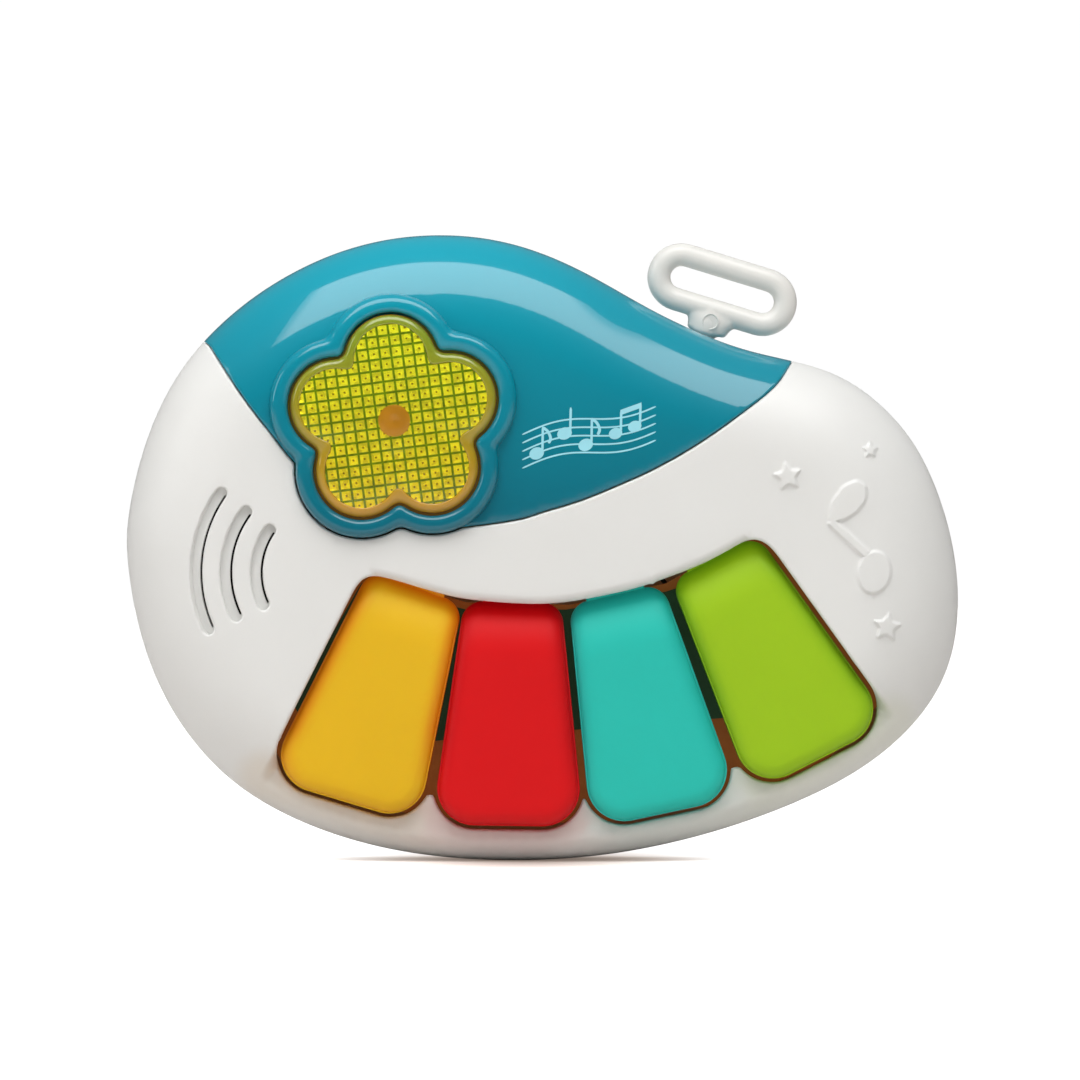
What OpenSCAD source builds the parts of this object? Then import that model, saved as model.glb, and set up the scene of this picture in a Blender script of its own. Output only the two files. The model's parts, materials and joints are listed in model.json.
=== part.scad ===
// Free-standing toy keyboard: a bean-shaped case that stands on its lower edge,
// with four fanned keys, a flower-shaped light button, a loudspeaker and a hanging loop.
// +Z is up, the keys face -Y, +X runs to the right of someone facing the keys.
// The origin is at the centre of the footprint box, on the ground. Sizes are in millimetres.

/* [Case] */
// wall thickness of the two case halves
wall = 2.2; // [1.6:0.1:3]
// depth position of the seam between the case halves
seam_y = 3; // [1:0.5:5]
// depth position of the flat front crown of the case
crown_y = -17.5; // [-19:0.5:-15]
// depth position of the flat back of the case
back_y = 20; // [18:0.5:24]
// thickness of the glossy top panel
panel_thickness = 2.3; // [1.6:0.1:3]
// depth position of the lowered lip under the keys
lip_y = -10.6; // [-12:0.2:-8]

/* [Keys] */
// depth position of the key faces
key_face_y = -15.7; // [-17:0.1:-14]
// how far a key face reaches back to its open rim
key_skirt_y = -5; // [-7:0.5:-4]
// key wall thickness
key_wall = 1.7; // [1.2:0.1:2.5]
// gap between a key and the edge of its well
key_gap = 1.3; // [0.8:0.1:2]
// radius of the steel hinge pins
pin_radius = 1.0; // [0.8:0.1:1.5]
// running clearance of the hinge pins in the keys
pin_clearance = 0.05; // [0.02:0.01:0.1]

/* [Flower button] */
// distance from the flower centre to the centre of a petal
petal_distance = 12.5; // [10:0.5:15]
// radius of a petal
petal_radius = 9.5; // [8:0.5:12]
// depth position of the button face
flower_y = -20; // [-21:0.5:-18]
// width of the gap round the button
flower_gap = 0.75; // [0.4:0.05:1.2]
// width of the raised ring round the button
ring_width = 4.05; // [2:0.05:6]

/* [Hanging loop] */
// radius of the loop's round bar
bar_radius = 2.45; // [1.5:0.05:3]
// outside length of the loop
loop_length = 32.3; // [25:0.1:40]
// outside height of the loop
loop_height = 14.4; // [12:0.1:20]
// lean of the loop to the right, in degrees
loop_lean = 17; // [0:1:30]

/* [Output] */

/* [Hidden] */
$fn = 64;

SCREW_COLOR = [0.75, 0.75, 0.76];
CONTACT_COLOR = [0.8, 0.8, 0.8];
DOME_COLOR = [0.1, 0.12, 0.1];

// depths well clear of the case, where through cuts begin and end
before = -30;
behind = 30;

// depths of the flat parts inside
light_board_front = -4.6;
light_board_back = -3.2;
clamp_front = -4.6;
clamp_back = -3.2;
frame_front = -3.6;
frame_back = -1.6;
sheet_front = -1.3;
board_front = -0.4;
board_back = 1.2;

// ---- places, as (x, z) ----
CASE_SCREWS = [[-71, 86], [-66, 30], [77, 44], [66, 87], [6, 111]];
FRAME_POSTS = [[-44.5, 64.5], [47, 77.5]];
BOARD_POSTS = [[-59, 36], [68, 50], [50, 70], [-45, 57]];
speaker = [-62.5, 62.5];
SPEAKER_POSTS = [for (s = [1, -1]) speaker + [0, s * 19]];
battery = [-11, 79];
door_tab = battery + [0, 20.5];
power_switch = [48, 60];
SWITCH_POSTS = [for (s = [-1, 1]) power_switch + [s * 9, 0]];
flower = [-30.8, 92];
loop_neck = [34.3, 111.7];

// ---- helpers ----
function unit(v) = v / norm(v);
// extrude an (x, z) drawing between two depths
module slab(y0, y1) {
    translate([0, y1, 0]) rotate([90, 0, 0]) linear_extrude(y1 - y0) children();
}
// round bar along the depth, at an (x, z) place
module rod(place, radius, y0, y1) {
    translate([place[0], y1, place[1]]) rotate([90, 0, 0]) cylinder(h = y1 - y0, r = radius);
}
module rods(places, radius, y0, y1) {
    for (place = places) rod(place, radius, y0, y1);
}
// box given by its two corners
module box(low, high) {
    translate(low) cube(high - low);
}
// box centred on an (x, z) place, with half sizes along x and z
module block(place, half, y0, y1) {
    low = place - half;
    high = place + half;
    box([low[0], y0, low[1]], [high[0], y1, high[1]]);
}
// round bar between two points
module bar(start, end, radius) {
    d = end - start;
    translate(start) rotate([0, acos(d[2] / norm(d)), atan2(d[1], d[0])])
        cylinder(h = norm(d), r = radius);
}
// pan-head screws pointing to -Y, with the underside of the head at head_y
module screws(places, head_y, length, radius, head_radius, head_height) {
    reach = head_radius * 0.6;
    for (place = places) difference() {
        union() {
            rod(place, radius, head_y - length, head_y);
            rod(place, head_radius, head_y, head_y + head_height);
        }
        for (half = [[reach, 0.3], [0.3, reach]])
            block(place, half, head_y + head_height * 0.45, head_y + head_height + 1);
    }
}

// ---- case body ----
// outline seen from the front (x, z), clockwise
OUTLINE = [
    [-25.3, 130.8], [-12.5, 130.3], [-0.5, 127.2], [10.8, 122], [21.5, 115.9], [31.8, 110.9],
    [41.9, 107], [52, 104.6], [61.6, 101.6], [70, 96], [77.4, 87.8], [82.6, 77.3], [86, 65.3],
    [87, 53.6], [85.6, 42.8], [81.2, 33], [73, 23.9], [62.1, 16.4], [48.2, 10.1], [33.1, 5.1],
    [16.3, 1.5], [-0.5, 0], [-17.3, 0.3], [-33.7, 2.6], [-49.2, 7.4], [-62.9, 14.8],
    [-72.8, 24.4], [-79.9, 35.5], [-84.7, 48.7], [-87, 62.8], [-86.8, 72.2], [-83.9, 85.3],
    [-78.6, 98.1], [-70.9, 108.8], [-60.2, 118.2], [-48.4, 125], [-37.1, 129]];
SPANS = len(OUTLINE);
STEPS = 2; // points on each span

// cubic B-spline: the four control points of span i, then place and slope at t
function nearby(points, i) = [for (k = [-1:2]) points[(i + k + SPANS) % SPANS]];
function spline(points, i, t) =
    [pow(1 - t, 3), 3 * pow(t, 3) - 6 * t * t + 4, -3 * pow(t, 3) + 3 * t * t + 3 * t + 1,
        pow(t, 3)] * nearby(points, i) / 6;
function slope(points, i, t) =
    [-3 * pow(1 - t, 2), 9 * t * t - 12 * t, -9 * t * t + 6 * t + 3, 3 * t * t]
        * nearby(points, i) / 6;

// control points pushed outward, so that the spline runs close to the outline points
PUSHED = [for (i = [0:SPANS - 1]) let (near = nearby(OUTLINE, i))
    near[1] - (near[0] - 2 * near[1] + near[2]) / 6];
CURVE = [for (i = [0:SPANS - 1]) for (k = [0:STEPS - 1]) spline(PUSHED, i, k / STEPS)];
CURVE_X = [for (p = CURVE) p[0]];
// centre the curve on the origin and stand it on the ground
SHIFT = [-(min(CURVE_X) + max(CURVE_X)) / 2, -min([for (p = CURVE) p[1]])];
CONTROL = [for (p = PUSHED) p + SHIFT];

function inward(v) = [v[1], -v[0]] / norm(v);
// outline moved inward; lag shifts its points along the curve by a part of a step
function outline(inset, lag = 0) = [for (i = [0:SPANS - 1]) for (k = [0:STEPS - 1])
    let (t = (k + lag) / STEPS)
    spline(CONTROL, i, t) + inset * inward(slope(CONTROL, i, t))];

// how far the case steps in from its outline (first value) at each depth (second value)
FRONT = [[0, seam_y], [0, -3], [0.9, -6.2], [2.7, -9.4], [5.6, -12.4], [9.8, -14.9],
    [15, -16.5], [20.3, crown_y]];
REAR = [[0, seam_y], [0, 8], [0.9, 11.2], [2.8, 14.2], [6, 17], [10.4, 18.9],
    [15, 19.8], [19, back_y]];

// profile moved in along its own normal; side is -1 for the front half, 1 for the rear half
function inset_profile(p, inset, side) = [for (i = [0:len(p) - 1])
    let (along = unit(p[min(i + 1, len(p) - 1)] - p[max(i - 1, 0)]))
    i <= 1 ? [p[i][0] + inset, p[i][1]] :
    i == len(p) - 1 ? [p[i][0], p[i][1] - side * inset] :
    [p[i][0] + inset * abs(along[1]), p[i][1] - side * inset * abs(along[0])]];

hub = [0, 66]; // (x, z) middle of the flat faces
function halfway(points) = [for (p = points) hub + 0.5 * (p - hub)];
function at_depth(points, y) = [for (p = points) [p[0], y, p[1]]];

// solid between the seam and the domed face; over > 0 starts it beyond the seam
module pillow(shape, inset, side, over = 0) {
    section = inset_profile(shape, inset, side);
    last = len(section) - 1;
    count = SPANS * STEPS;
    rim = outline(section[0][0] + 6, 0.45);
    base_y = section[0][1] - side * over;
    top_y = section[last][1];
    // two rows on the flat base, the walls, then one row on the flat crown
    rows = [
        at_depth(halfway(rim), base_y),
        at_depth(rim, base_y),
        for (j = [0:last]) at_depth(outline(section[j][0]), j == 0 ? base_y : section[j][1]),
        at_depth(halfway(outline(section[last][0])), top_y)];
    top = len(rows) - 1;
    base_hub = len(rows) * count;
    points = [for (row = rows) each row, each at_depth([hub], base_y), each at_depth([hub], top_y)];
    faces = [
        for (j = [0:top - 1]) for (i = [0:count - 1])
            let (a = j * count + i, b = j * count + (i + 1) % count)
            each [[a, b, b + count], [a, b + count, a + count]],
        for (i = [0:count - 1]) [base_hub, (i + 1) % count, i],
        for (i = [0:count - 1])
            [base_hub + 1, top * count + i, top * count + (i + 1) % count]];
    polyhedron(points, side < 0 ? faces : [for (f = faces) [f[2], f[1], f[0]]], convexity = 8);
}

// ---- hanging loop ----
// into the frame of the loop: origin on its neck axis, +Z out of the case along the axis
module at_neck() {
    translate([loop_neck[0], seam_y, loop_neck[1]]) rotate([0, loop_lean, 0]) children();
}
// round solid about the neck axis
module neck_round(z, height, radius) {
    at_neck() rotate(50) translate([0, 0, z]) cylinder(h = height, r = radius);
}
module neck_bore() {
    neck_round(-7, 14, 2.5);
}
// bore with a wider pocket for the foot of the loop
module neck_socket() {
    neck_bore();
    neck_round(-9.9, 3.9, 4.6);
}
module hang_loop() {
    half = (loop_length - loop_height) / 2;
    mid = loop_height / 2 - bar_radius;
    color([0.93, 0.93, 0.92]) at_neck() {
        // oval of two straight bars and two half rings
        translate([1, 0, 8.7]) for (s = [-1, 1]) {
            translate([-half, 0, s * mid]) rotate([0, 90, 0])
                cylinder(h = 2 * half, r = bar_radius);
            translate([s * half, 0, 0]) rotate([90, 0, 0]) rotate([0, 0, s * -90])
                rotate_extrude(angle = 180) translate([mid, 0]) circle(bar_radius);
        }
        // collar between the loop and the case
        difference() {
            union() {
                translate([0, 0, -1.1]) cylinder(h = 1.9, r1 = 4.1, r2 = 3.6);
                translate([0, 0, 0.8]) cylinder(h = 3, r1 = 3.6, r2 = 2.2);
                rotate([90, 0, 0]) translate([0, 0.4, -2.75]) cylinder(h = 5.5, r = 3.1);
            }
            translate([-6, -6, -8.5]) cube([12, 12, 7.4]);
        }
        // shaft and foot inside the case
        translate([0, 0, -9]) cylinder(h = 10, r = 2.4);
        translate([0, 0, -9.5]) cylinder(h = 3, r = 4.2);
    }
}

// ---- keys ----
// corners (x, z) of each key: top left, top right, bottom right, bottom left
KEYS = [
    [[-36.1, 61.1], [-16.65, 53.6], [-25.9, 8], [-57.9, 17.6]],
    [[-16.4, 54.4], [4, 54], [8.7, 7.35], [-23.2, 7.8]],
    [[5.5, 53.5], [25, 58.1], [41.1, 13.5], [10.1, 6.9]],
    [[26.8, 58.55], [44.8, 68.3], [72.8, 29.2], [43.8, 14.3]]];
CORNER_RADII = [4.6, 4.6, 7.8, 7.8];
CORNER_STEPS = 6;
// stepped front edge of a key: distance behind the face, inset
KEY_EDGE = [[1.6, 0], [0.7, 0.5], [0.2, 1.1], [0, 1.9]];
// hinge axis and plunger, in the frame of a key
hinge_y = -8;
hinge_z = 8;
knuckle_half = 6.2;
bracket_x = 7.4;
bracket_width = 1.8;
plunger_z = -20;
dome_height = 3.3;
plunger_gap = 0.1; // between a plunger and the dome behind it

function top_mid(k) = (KEYS[k][0] + KEYS[k][1]) / 2;
function low_mid(k) = (KEYS[k][2] + KEYS[k][3]) / 2;
function up(k) = unit(top_mid(k) - low_mid(k));
// where the line through a along da crosses the line through b along db
function meet(a, da, b, db) = a + da * ((b[0] - a[0]) * db[1] - (b[1] - a[1]) * db[0])
    / (da[0] * db[1] - da[1] * db[0]);
// clockwise quadrilateral with its edges moved outward
function grown(quad, grow) = [for (i = [0:3])
    let (corner = quad[i],
        d0 = unit(corner - quad[(i + 3) % 4]),
        d1 = unit(quad[(i + 1) % 4] - corner))
    meet(corner + grow * [-d0[1], d0[0]], d0, corner + grow * [-d1[1], d1[0]], d1)];
// clockwise quadrilateral with rounded corners, as points
function rounded(quad, radii) = [for (i = [0:3])
    let (corner = quad[i],
        d0 = unit(corner - quad[(i + 3) % 4]),
        d1 = unit(quad[(i + 1) % 4] - corner),
        turn = acos(d0 * d1),
        start = corner - d0 * radii[i] * tan(turn / 2),
        centre = start + radii[i] * [d0[1], -d0[0]],
        angle = atan2(start[1] - centre[1], start[0] - centre[0]))
    for (k = [0:CORNER_STEPS]) let (a = angle - turn * k / CORNER_STEPS)
        centre + radii[i] * [cos(a), sin(a)]];
function key_outline(k, grow) =
    rounded(grown(KEYS[k], grow), [for (r = CORNER_RADII) max(r + grow, 0.6)]);

// into the frame of a key: origin at the middle of its top edge, +Z up along the key
module at_key(k) {
    mid = top_mid(k);
    translate([mid[0], 0, mid[1]]) rotate([0, atan2(up(k)[0], up(k)[1]), 0]) children();
}
// the same frame for an (x, z) drawing
module at_key_drawing(k) {
    translate(top_mid(k)) rotate(-atan2(up(k)[0], up(k)[1])) children();
}
// round bar on the hinge line of a key, centred at x
module hinge_rod(k, x, length, radius) {
    at_key(k) translate([x - length / 2, hinge_y, hinge_z]) rotate([0, 90, 0])
        cylinder(h = length, r = radius);
}
// frame on the plunger axis of a key, with +Z towards the key face
module at_plunger(k, y) {
    at_key(k) translate([0, y, plunger_z]) rotate([90, 0, 0]) children();
}
module key_body(k) {
    plunger_tip = sheet_front - dome_height - plunger_gap;
    difference() {
        union() {
            for (edge = KEY_EDGE)
                slab(key_face_y + edge[0], key_skirt_y) polygon(key_outline(k, -edge[1]));
            // arm up to the hinge, and its knuckle
            at_key(k) box([-knuckle_half, -10.2, -3], [knuckle_half, -6.4, hinge_z]);
            hinge_rod(k, 0, 2 * knuckle_half, 2.5);
        }
        slab(key_face_y + key_wall, key_skirt_y + 1) intersection() {
            polygon(key_outline(k, -key_wall));
            at_key_drawing(k) translate([-30, -60]) square([60, 56.5]);
        }
        // the face dips as it runs under the edge of the case
        at_key(k) translate([0, key_face_y, -7]) rotate([-24, 0, 0])
            box([-20, -12, 0], [20, 0, 20]);
        hinge_rod(k, 0, 20, pin_radius + pin_clearance);
    }
    at_plunger(k, plunger_tip) cylinder(h = plunger_tip - key_face_y - key_wall + 0.4, r = 2.2);
}
module key_yellow() { color([0.88, 0.72, 0.16]) key_body(0); }
module key_red() { color([0.86, 0.07, 0.1]) key_body(1); }
module key_turquoise() { color([0.2, 0.76, 0.7]) key_body(2); }
module key_green() { color([0.62, 0.77, 0.13]) key_body(3); }

// ---- flower geometry ----
first_petal = 93.3; // angle of the top petal
ring_inner = petal_radius + flower_gap;
ring_outer = ring_inner + ring_width;
ring_front = -19.6;
ring_back = -14;
button_back = -12.4;
light_dome_height = 5;
function from_flower(distance, angle) = flower + distance * [cos(angle), sin(angle)];
PETALS = [for (k = [0:4]) from_flower(petal_distance, first_petal - 72 * k)];
// posts in three of the five notches between petals
RING_POSTS = [for (k = [0, 1, 3]) from_flower(21, first_petal - 36 - 72 * k)];
LEDS = [for (k = [0:2]) from_flower(12, first_petal + 120 * k)];
// stepped front edges: distance behind the face, inset
RING_EDGE = [[1.2, 0], [0.4, 0.6], [0, 1.6]];
BUTTON_EDGE = [[1.2, 0], [0.4, 0.5], [0, 1.3]];
module petals(radius, y0, y1) {
    rods(PETALS, radius, y0, y1);
    rod(flower, petal_distance * 0.8, y0, y1);
}

// ---- top panel ----
// lower edge of the panel (x, z), left to right
PANEL_EDGE = [
    [-69.6, 107.9], [-62.5, 97.3], [-56.6, 89.6], [-50, 82], [-40, 76.5], [-30, 71],
    [-21.5, 69.6], [-13.1, 70.3], [-4.7, 71.6], [0.5, 73.2], [7.4, 75.3], [14.2, 78],
    [23.3, 82.1], [32.4, 87.3], [41.5, 93.7], [48.3, 99.2], [51.8, 104]];
module panel_area() {
    polygon(concat(PANEL_EDGE, [[58, 112], [40, 150], [-70, 150], [-90, 128], [-76, 112]]));
}
// panel area with a wider lower edge, for the hollow behind the thick part of the front
module panel_area_wide() {
    polygon(concat([for (p = PANEL_EDGE) p + [-0.6, -2.2]],
        [[56, 101], [60, 112], [40, 150], [-70, 150], [-90, 128], [-78, 110]]));
}
module top_panel() {
    color([0.09, 0.62, 0.73]) difference() {
        union() {
            difference() {
                intersection() {
                    pillow(FRONT, 0, -1);
                    slab(before, 10) panel_area();
                }
                pillow(FRONT, panel_thickness, -1, 1);
            }
            for (edge = RING_EDGE) petals(ring_outer - edge[1], ring_front + edge[0], ring_back);
            rods(RING_POSTS, 1.7, ring_back - 1, light_board_front);
        }
        petals(ring_inner, before, ring_back + 1);
        rods(RING_POSTS, 0.8, -11, -4);
        neck_bore();
    }
}

// ---- front case half ----
panel_seat = panel_thickness + 0.15; // how far the case steps in under the panel
// posts: places, radius, back end; hole: radius, front end, back end
FRONT_POSTS = [
    [CASE_SCREWS, 3.2, seam_y, 1.25, -8, 4],
    [FRAME_POSTS, 2.6, frame_front, 0.95, -11, 0],
    [BOARD_POSTS, 2.6, board_front, 0.95, -8, 1],
    [SPEAKER_POSTS, 2.4, clamp_front, 0.85, -10, 0]];
// curved slots in front of the loudspeaker: top, middle and bottom point (x, z)
SLOTS = [
    [[-66.8, 76.9], [-72, 61.3], [-69.5, 48.7]],
    [[-61.6, 73], [-65.7, 62], [-63.7, 51.4]],
    [[-56.7, 69.2], [-59.4, 61.3], [-58, 53.8]]];
// lower edge of the case front over the key tops (x, z), left to right
KEY_TOP_EDGE = [
    [-60, 66], [-40, 61.2], [-32.5, 59.3], [-29.9, 58.6], [-23.5, 56.7], [-17.6, 55.2],
    [-10, 54.3], [-2.6, 53.9], [2, 54], [6.5, 54.5], [13.5, 55.8], [20.2, 57.4],
    [27.7, 60], [32.5, 61.9], [36.8, 64], [41.8, 66.9], [46, 70], [60, 82]];
// area of the lowered lip (x, z)
LIP = [[-56.3, 20.4], [-59.5, 15.5], [-64, -10], [90, -10], [92, 16], [74.3, 29],
    [69.2, 34.7], [60, 45], [20, 45], [-20, 45], [-48, 40]];

// centre of the circle through three points
function circle_centre(a, b, c) =
    let (aa = a * a, bb = b * b, cc = c * c,
        d = 2 * (a[0] * (b[1] - c[1]) + b[0] * (c[1] - a[1]) + c[0] * (a[1] - b[1])))
    [(aa * (b[1] - c[1]) + bb * (c[1] - a[1]) + cc * (a[1] - b[1])) / d,
    (aa * (c[0] - b[0]) + bb * (a[0] - c[0]) + cc * (b[0] - a[0])) / d];
// slot along the arc through three points, shifted to the right
module slot(arc, width, shift, y0, y1) {
    centre = circle_centre(arc[0], arc[1], arc[2]);
    radius = norm(arc[0] - centre);
    start = atan2(arc[0][1] - centre[1], arc[0][0] - centre[0]);
    end = atan2(arc[2][1] - centre[1], arc[2][0] - centre[0]) + 360;
    translate([centre[0], y1, centre[1]]) rotate([90, 0, 0]) {
        rotate([0, 0, start]) rotate_extrude(angle = end - start)
            translate([radius - shift - width / 2, 0]) square([width, y1 - y0]);
        for (angle = [start, end]) rotate([0, 0, angle]) translate([radius - shift, 0, 0])
            cylinder(h = y1 - y0, r = width / 2 - 0.04);
    }
}
module star(centre, radius, angle) {
    translate(centre) rotate(angle) polygon([for (i = [0:9])
        let (r = i % 2 == 0 ? radius : radius * 0.5, a = 90 + 36 * i)
        r * [cos(a), sin(a)]]);
}
// musical note: head, stem and flag
module note() {
    translate([69.05, 60.5]) rotate(-10) circle(3.9);
    polygon([[67.1, 63], [68.4, 64.5], [60.6, 71.7], [59.3, 70.5]]);
    polygon([[59.5, 71.4], [60.2, 75], [62.5, 78.35], [65.5, 79.6], [67.35, 78.35],
        [67.35, 75.7], [65.5, 73.1], [62.5, 71.4]]);
}
// outer body, stepped in under the panel, with the raised stars and note
module front_body() {
    difference() {
        pillow(FRONT, 0, -1);
        slab(before, 10) panel_area();
    }
    pillow(FRONT, panel_seat, -1);
    intersection() {
        pillow(FRONT, -0.5, -1);
        slab(before, 0) {
            star([51, 80.4], 2.95, 10);
            star([68.3, 85.9], 1.6, 0);
            star([71.7, 49.1], 2.95, -8);
            note();
        }
    }
}
module front_hollow() {
    difference() {
        pillow(FRONT, wall, -1, 1);
        slab(before, 10) panel_area_wide();
    }
    pillow(FRONT, panel_seat + wall, -1, 1);
}
module front_shell() {
    color([0.9, 0.9, 0.89]) difference() {
        front_body();
        difference() {
            front_hollow();
            // left standing inside: posts, a wall round the loudspeaker, the neck boss
            for (post = FRONT_POSTS) rods(post[0], post[1], before, post[2]);
            difference() {
                rod(speaker, 17.4, before, -7.5);
                rod(speaker, 15.9, before - 1, 0);
            }
            neck_round(-6, 12, 5.3);
        }
        for (post = FRONT_POSTS) rods(post[0], post[3], post[4], post[5]);
        // key well, then the lowered lip under it
        difference() {
            for (k = [0:3]) slab(before, 0) polygon(key_outline(k, key_gap));
            slab(before - 1, 1) polygon(concat(KEY_TOP_EDGE, [[60, 90], [-40, 90]]));
        }
        slab(before, lip_y) polygon(LIP);
        petals(ring_outer + 0.35, before, 0);
        // wide groove with a narrow slit through its floor
        for (arc = SLOTS) {
            slot(arc, 2.4, 0, before, -14.9);
            slot(arc, 0.7, 0.85, before, 0);
        }
        neck_socket();
    }
}

// ---- rear case half ----
case_screw_seat = 10.5;
// half sizes (x, z) of the battery bay and its door
bay_half = [29.6, 15.9];
bay_wall_half = [31.2, 17.4];
door_half = [31, 17.2];
door_gap = 0.3;
door_seat = 18.3;
door_front = 18.35;
// neck of the door, from its upper edge to the round tab
module door_tab_neck(half_width, y0, y1) {
    box([battery[0] - half_width, y0, battery[1] + 16], [battery[0] + half_width, y1, door_tab[1]]);
}
module rear_shell() {
    color([0.86, 0.86, 0.85]) difference() {
        pillow(REAR, 0, 1);
        difference() {
            pillow(REAR, wall, 1, 1);
            // left standing inside: screw bosses, battery bay, neck boss, switch posts
            rods(CASE_SCREWS, 3.2, seam_y, behind);
            block(battery, bay_wall_half, 2.3, behind);
            at_neck() box([-5.1, -5.6, -6.1], [5.2, 5.7, 6]);
            rods(SWITCH_POSTS, 2, 14.2, behind);
        }
        // battery bay and the recess for its door
        block(battery, bay_half, 3.95, behind);
        block(battery, door_half + [door_gap, door_gap], door_seat, behind);
        rod(door_tab, 4, door_seat, behind);
        door_tab_neck(3.65, door_seat, behind);
        rod(door_tab, 1.1, 10, behind);
        rods(CASE_SCREWS, 1.5, 0, behind);
        rods(CASE_SCREWS, 2.9, case_screw_seat, behind);
        // switch recess and opening
        block(power_switch, [7, 3.4], 18.8, behind);
        block(power_switch, [5.4, 1.7], 10, behind);
        neck_socket();
        rods(SWITCH_POSTS, 0.8, 13, 18.5);
    }
}
module case_screws() { color(SCREW_COLOR) screws(CASE_SCREWS, case_screw_seat, 16, 1.2, 2.5, 1.9); }

// ---- flower light button ----
module flower_button() {
    color([0.72, 0.72, 0.14, 0.9]) {
        difference() {
            union() {
                for (edge = BUTTON_EDGE)
                    petals(petal_radius - edge[1], flower_y + edge[0], button_back);
                // rim behind the ring
                petals(11.15, ring_back + 0.5, button_back);
            }
            petals(petal_radius - 1.7, flower_y + 2.4, -12);
        }
        rod(flower, 2.4, flower_y + 2, light_board_front - light_dome_height - plunger_gap);
    }
}
module flower_dome() {
    color([0.85, 0.85, 0.82]) translate([flower[0], light_board_front, flower[1]])
        rotate([90, 0, 0]) cylinder(h = light_dome_height, r1 = 4.6, r2 = 2.6);
}
module flower_board() {
    color([0.12, 0.36, 0.2]) difference() {
        intersection() {
            rod(flower, 24, light_board_front, light_board_back);
            box([-80, -10, 76], [20, 0, 130]);
        }
        rods(RING_POSTS, 1.1, -6, 0);
    }
}
module flower_leds() {
    radius = 2.5;
    tip_y = -9.6;
    color([0.95, 0.93, 0.85]) for (place = LEDS) {
        rod(place, radius, tip_y, light_board_front);
        translate([place[0], tip_y, place[1]]) sphere(radius);
    }
}
module flower_board_screws() {
    color(SCREW_COLOR) screws(RING_POSTS, light_board_back, 6.5, 0.75, 1.7, 1.2);
}

// ---- key mechanism ----
module key_frame() {
    color([0.06, 0.06, 0.065]) difference() {
        union() {
            slab(frame_front, frame_back) polygon([
                [-48, 62], [-41, 61], [-26, 58.5], [-6, 56], [15, 57.5], [35, 65], [44, 71],
                [51, 75], [50.5, 81], [43, 81], [29, 76], [11.5, 69.5], [-6, 68],
                [-21.5, 70.5], [-38, 70.5], [-47, 69.5]]);
            // a pair of hinge brackets for each key
            for (k = [0:3]) for (x = [-bracket_x, bracket_x]) {
                at_key(k) box([x - bracket_width / 2, hinge_y, 4.6], [x + bracket_width / 2, -3, 11]);
                hinge_rod(k, x, bracket_width, 2.7);
            }
        }
        for (k = [0:3]) hinge_rod(k, 0, 20, pin_radius + 0.02);
        rods(FRAME_POSTS, 1.2, -5, 0);
    }
}
module key_frame_screws() { color(SCREW_COLOR) screws(FRAME_POSTS, frame_back, 8, 0.9, 2, 1.1); }
module hinge_pins() {
    color([0.7, 0.7, 0.72]) for (k = [0:3])
        hinge_rod(k, 0, 2 * bracket_x + bracket_width, pin_radius);
}
module dome(k) {
    at_plunger(k, sheet_front) cylinder(h = dome_height, r1 = 4.4, r2 = 2.6);
}
module dome_yellow() { color(DOME_COLOR) dome(0); }
module dome_red() { color(DOME_COLOR) dome(1); }
module dome_turquoise() { color(DOME_COLOR) dome(2); }
module dome_green() { color(DOME_COLOR) dome(3); }
module keypad_sheet() {
    color([0.07, 0.13, 0.09]) difference() {
        slab(sheet_front, board_front) polygon([
            [-52.5, 33], [-47, 23], [-21.9, 25], [7.25, 27.3], [36.2, 29.6], [66, 31.8],
            [60.5, 42], [45, 62.5], [26, 56.3], [5, 52.5], [-16, 52.5], [-38, 58]]);
        rod(BOARD_POSTS[3], 3.2, -5, 2);
    }
}
module key_board() {
    color([0.5, 0.25, 0.1]) difference() {
        slab(board_front, board_back) polygon([
            [-63, 38], [-60, 30], [-55, 21], [-43, 13], [-25, 9], [10, 7.5], [40, 12],
            [60, 21], [71, 33], [72.5, 47], [70, 54], [60, 62], [54, 73], [46, 74],
            [40, 66], [26, 58], [6, 53.5], [-16, 54], [-38, 60.5], [-48, 61], [-53, 48]]);
        rods(BOARD_POSTS, 1.2, -5, 5);
    }
}
module chip_blob() {
    color([0.04, 0.04, 0.04]) intersection() {
        translate([14, -4.5, 42]) sphere(8.5);
        box([0, board_back, 30], [30, 10, 60]);
    }
}
// two cans and four small boxes on the back of the board
module board_parts() {
    color([0.15, 0.15, 0.35]) {
        rod([-20, 40], 2.5, board_back, 8);
        rod([-28, 34], 2, board_back, 6.5);
        box([32, board_back, 46], [38, 4.8, 49]);
        for (low = [[30, 36], [-8, 30], [-2, 44]])
            box([low[0], board_back, low[1]], [low[0] + 3.2, 2.6, low[1] + 1.6]);
    }
}
module board_screws() { color(SCREW_COLOR) screws(BOARD_POSTS, board_back, 7.5, 0.9, 2.1, 1.3); }

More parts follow.
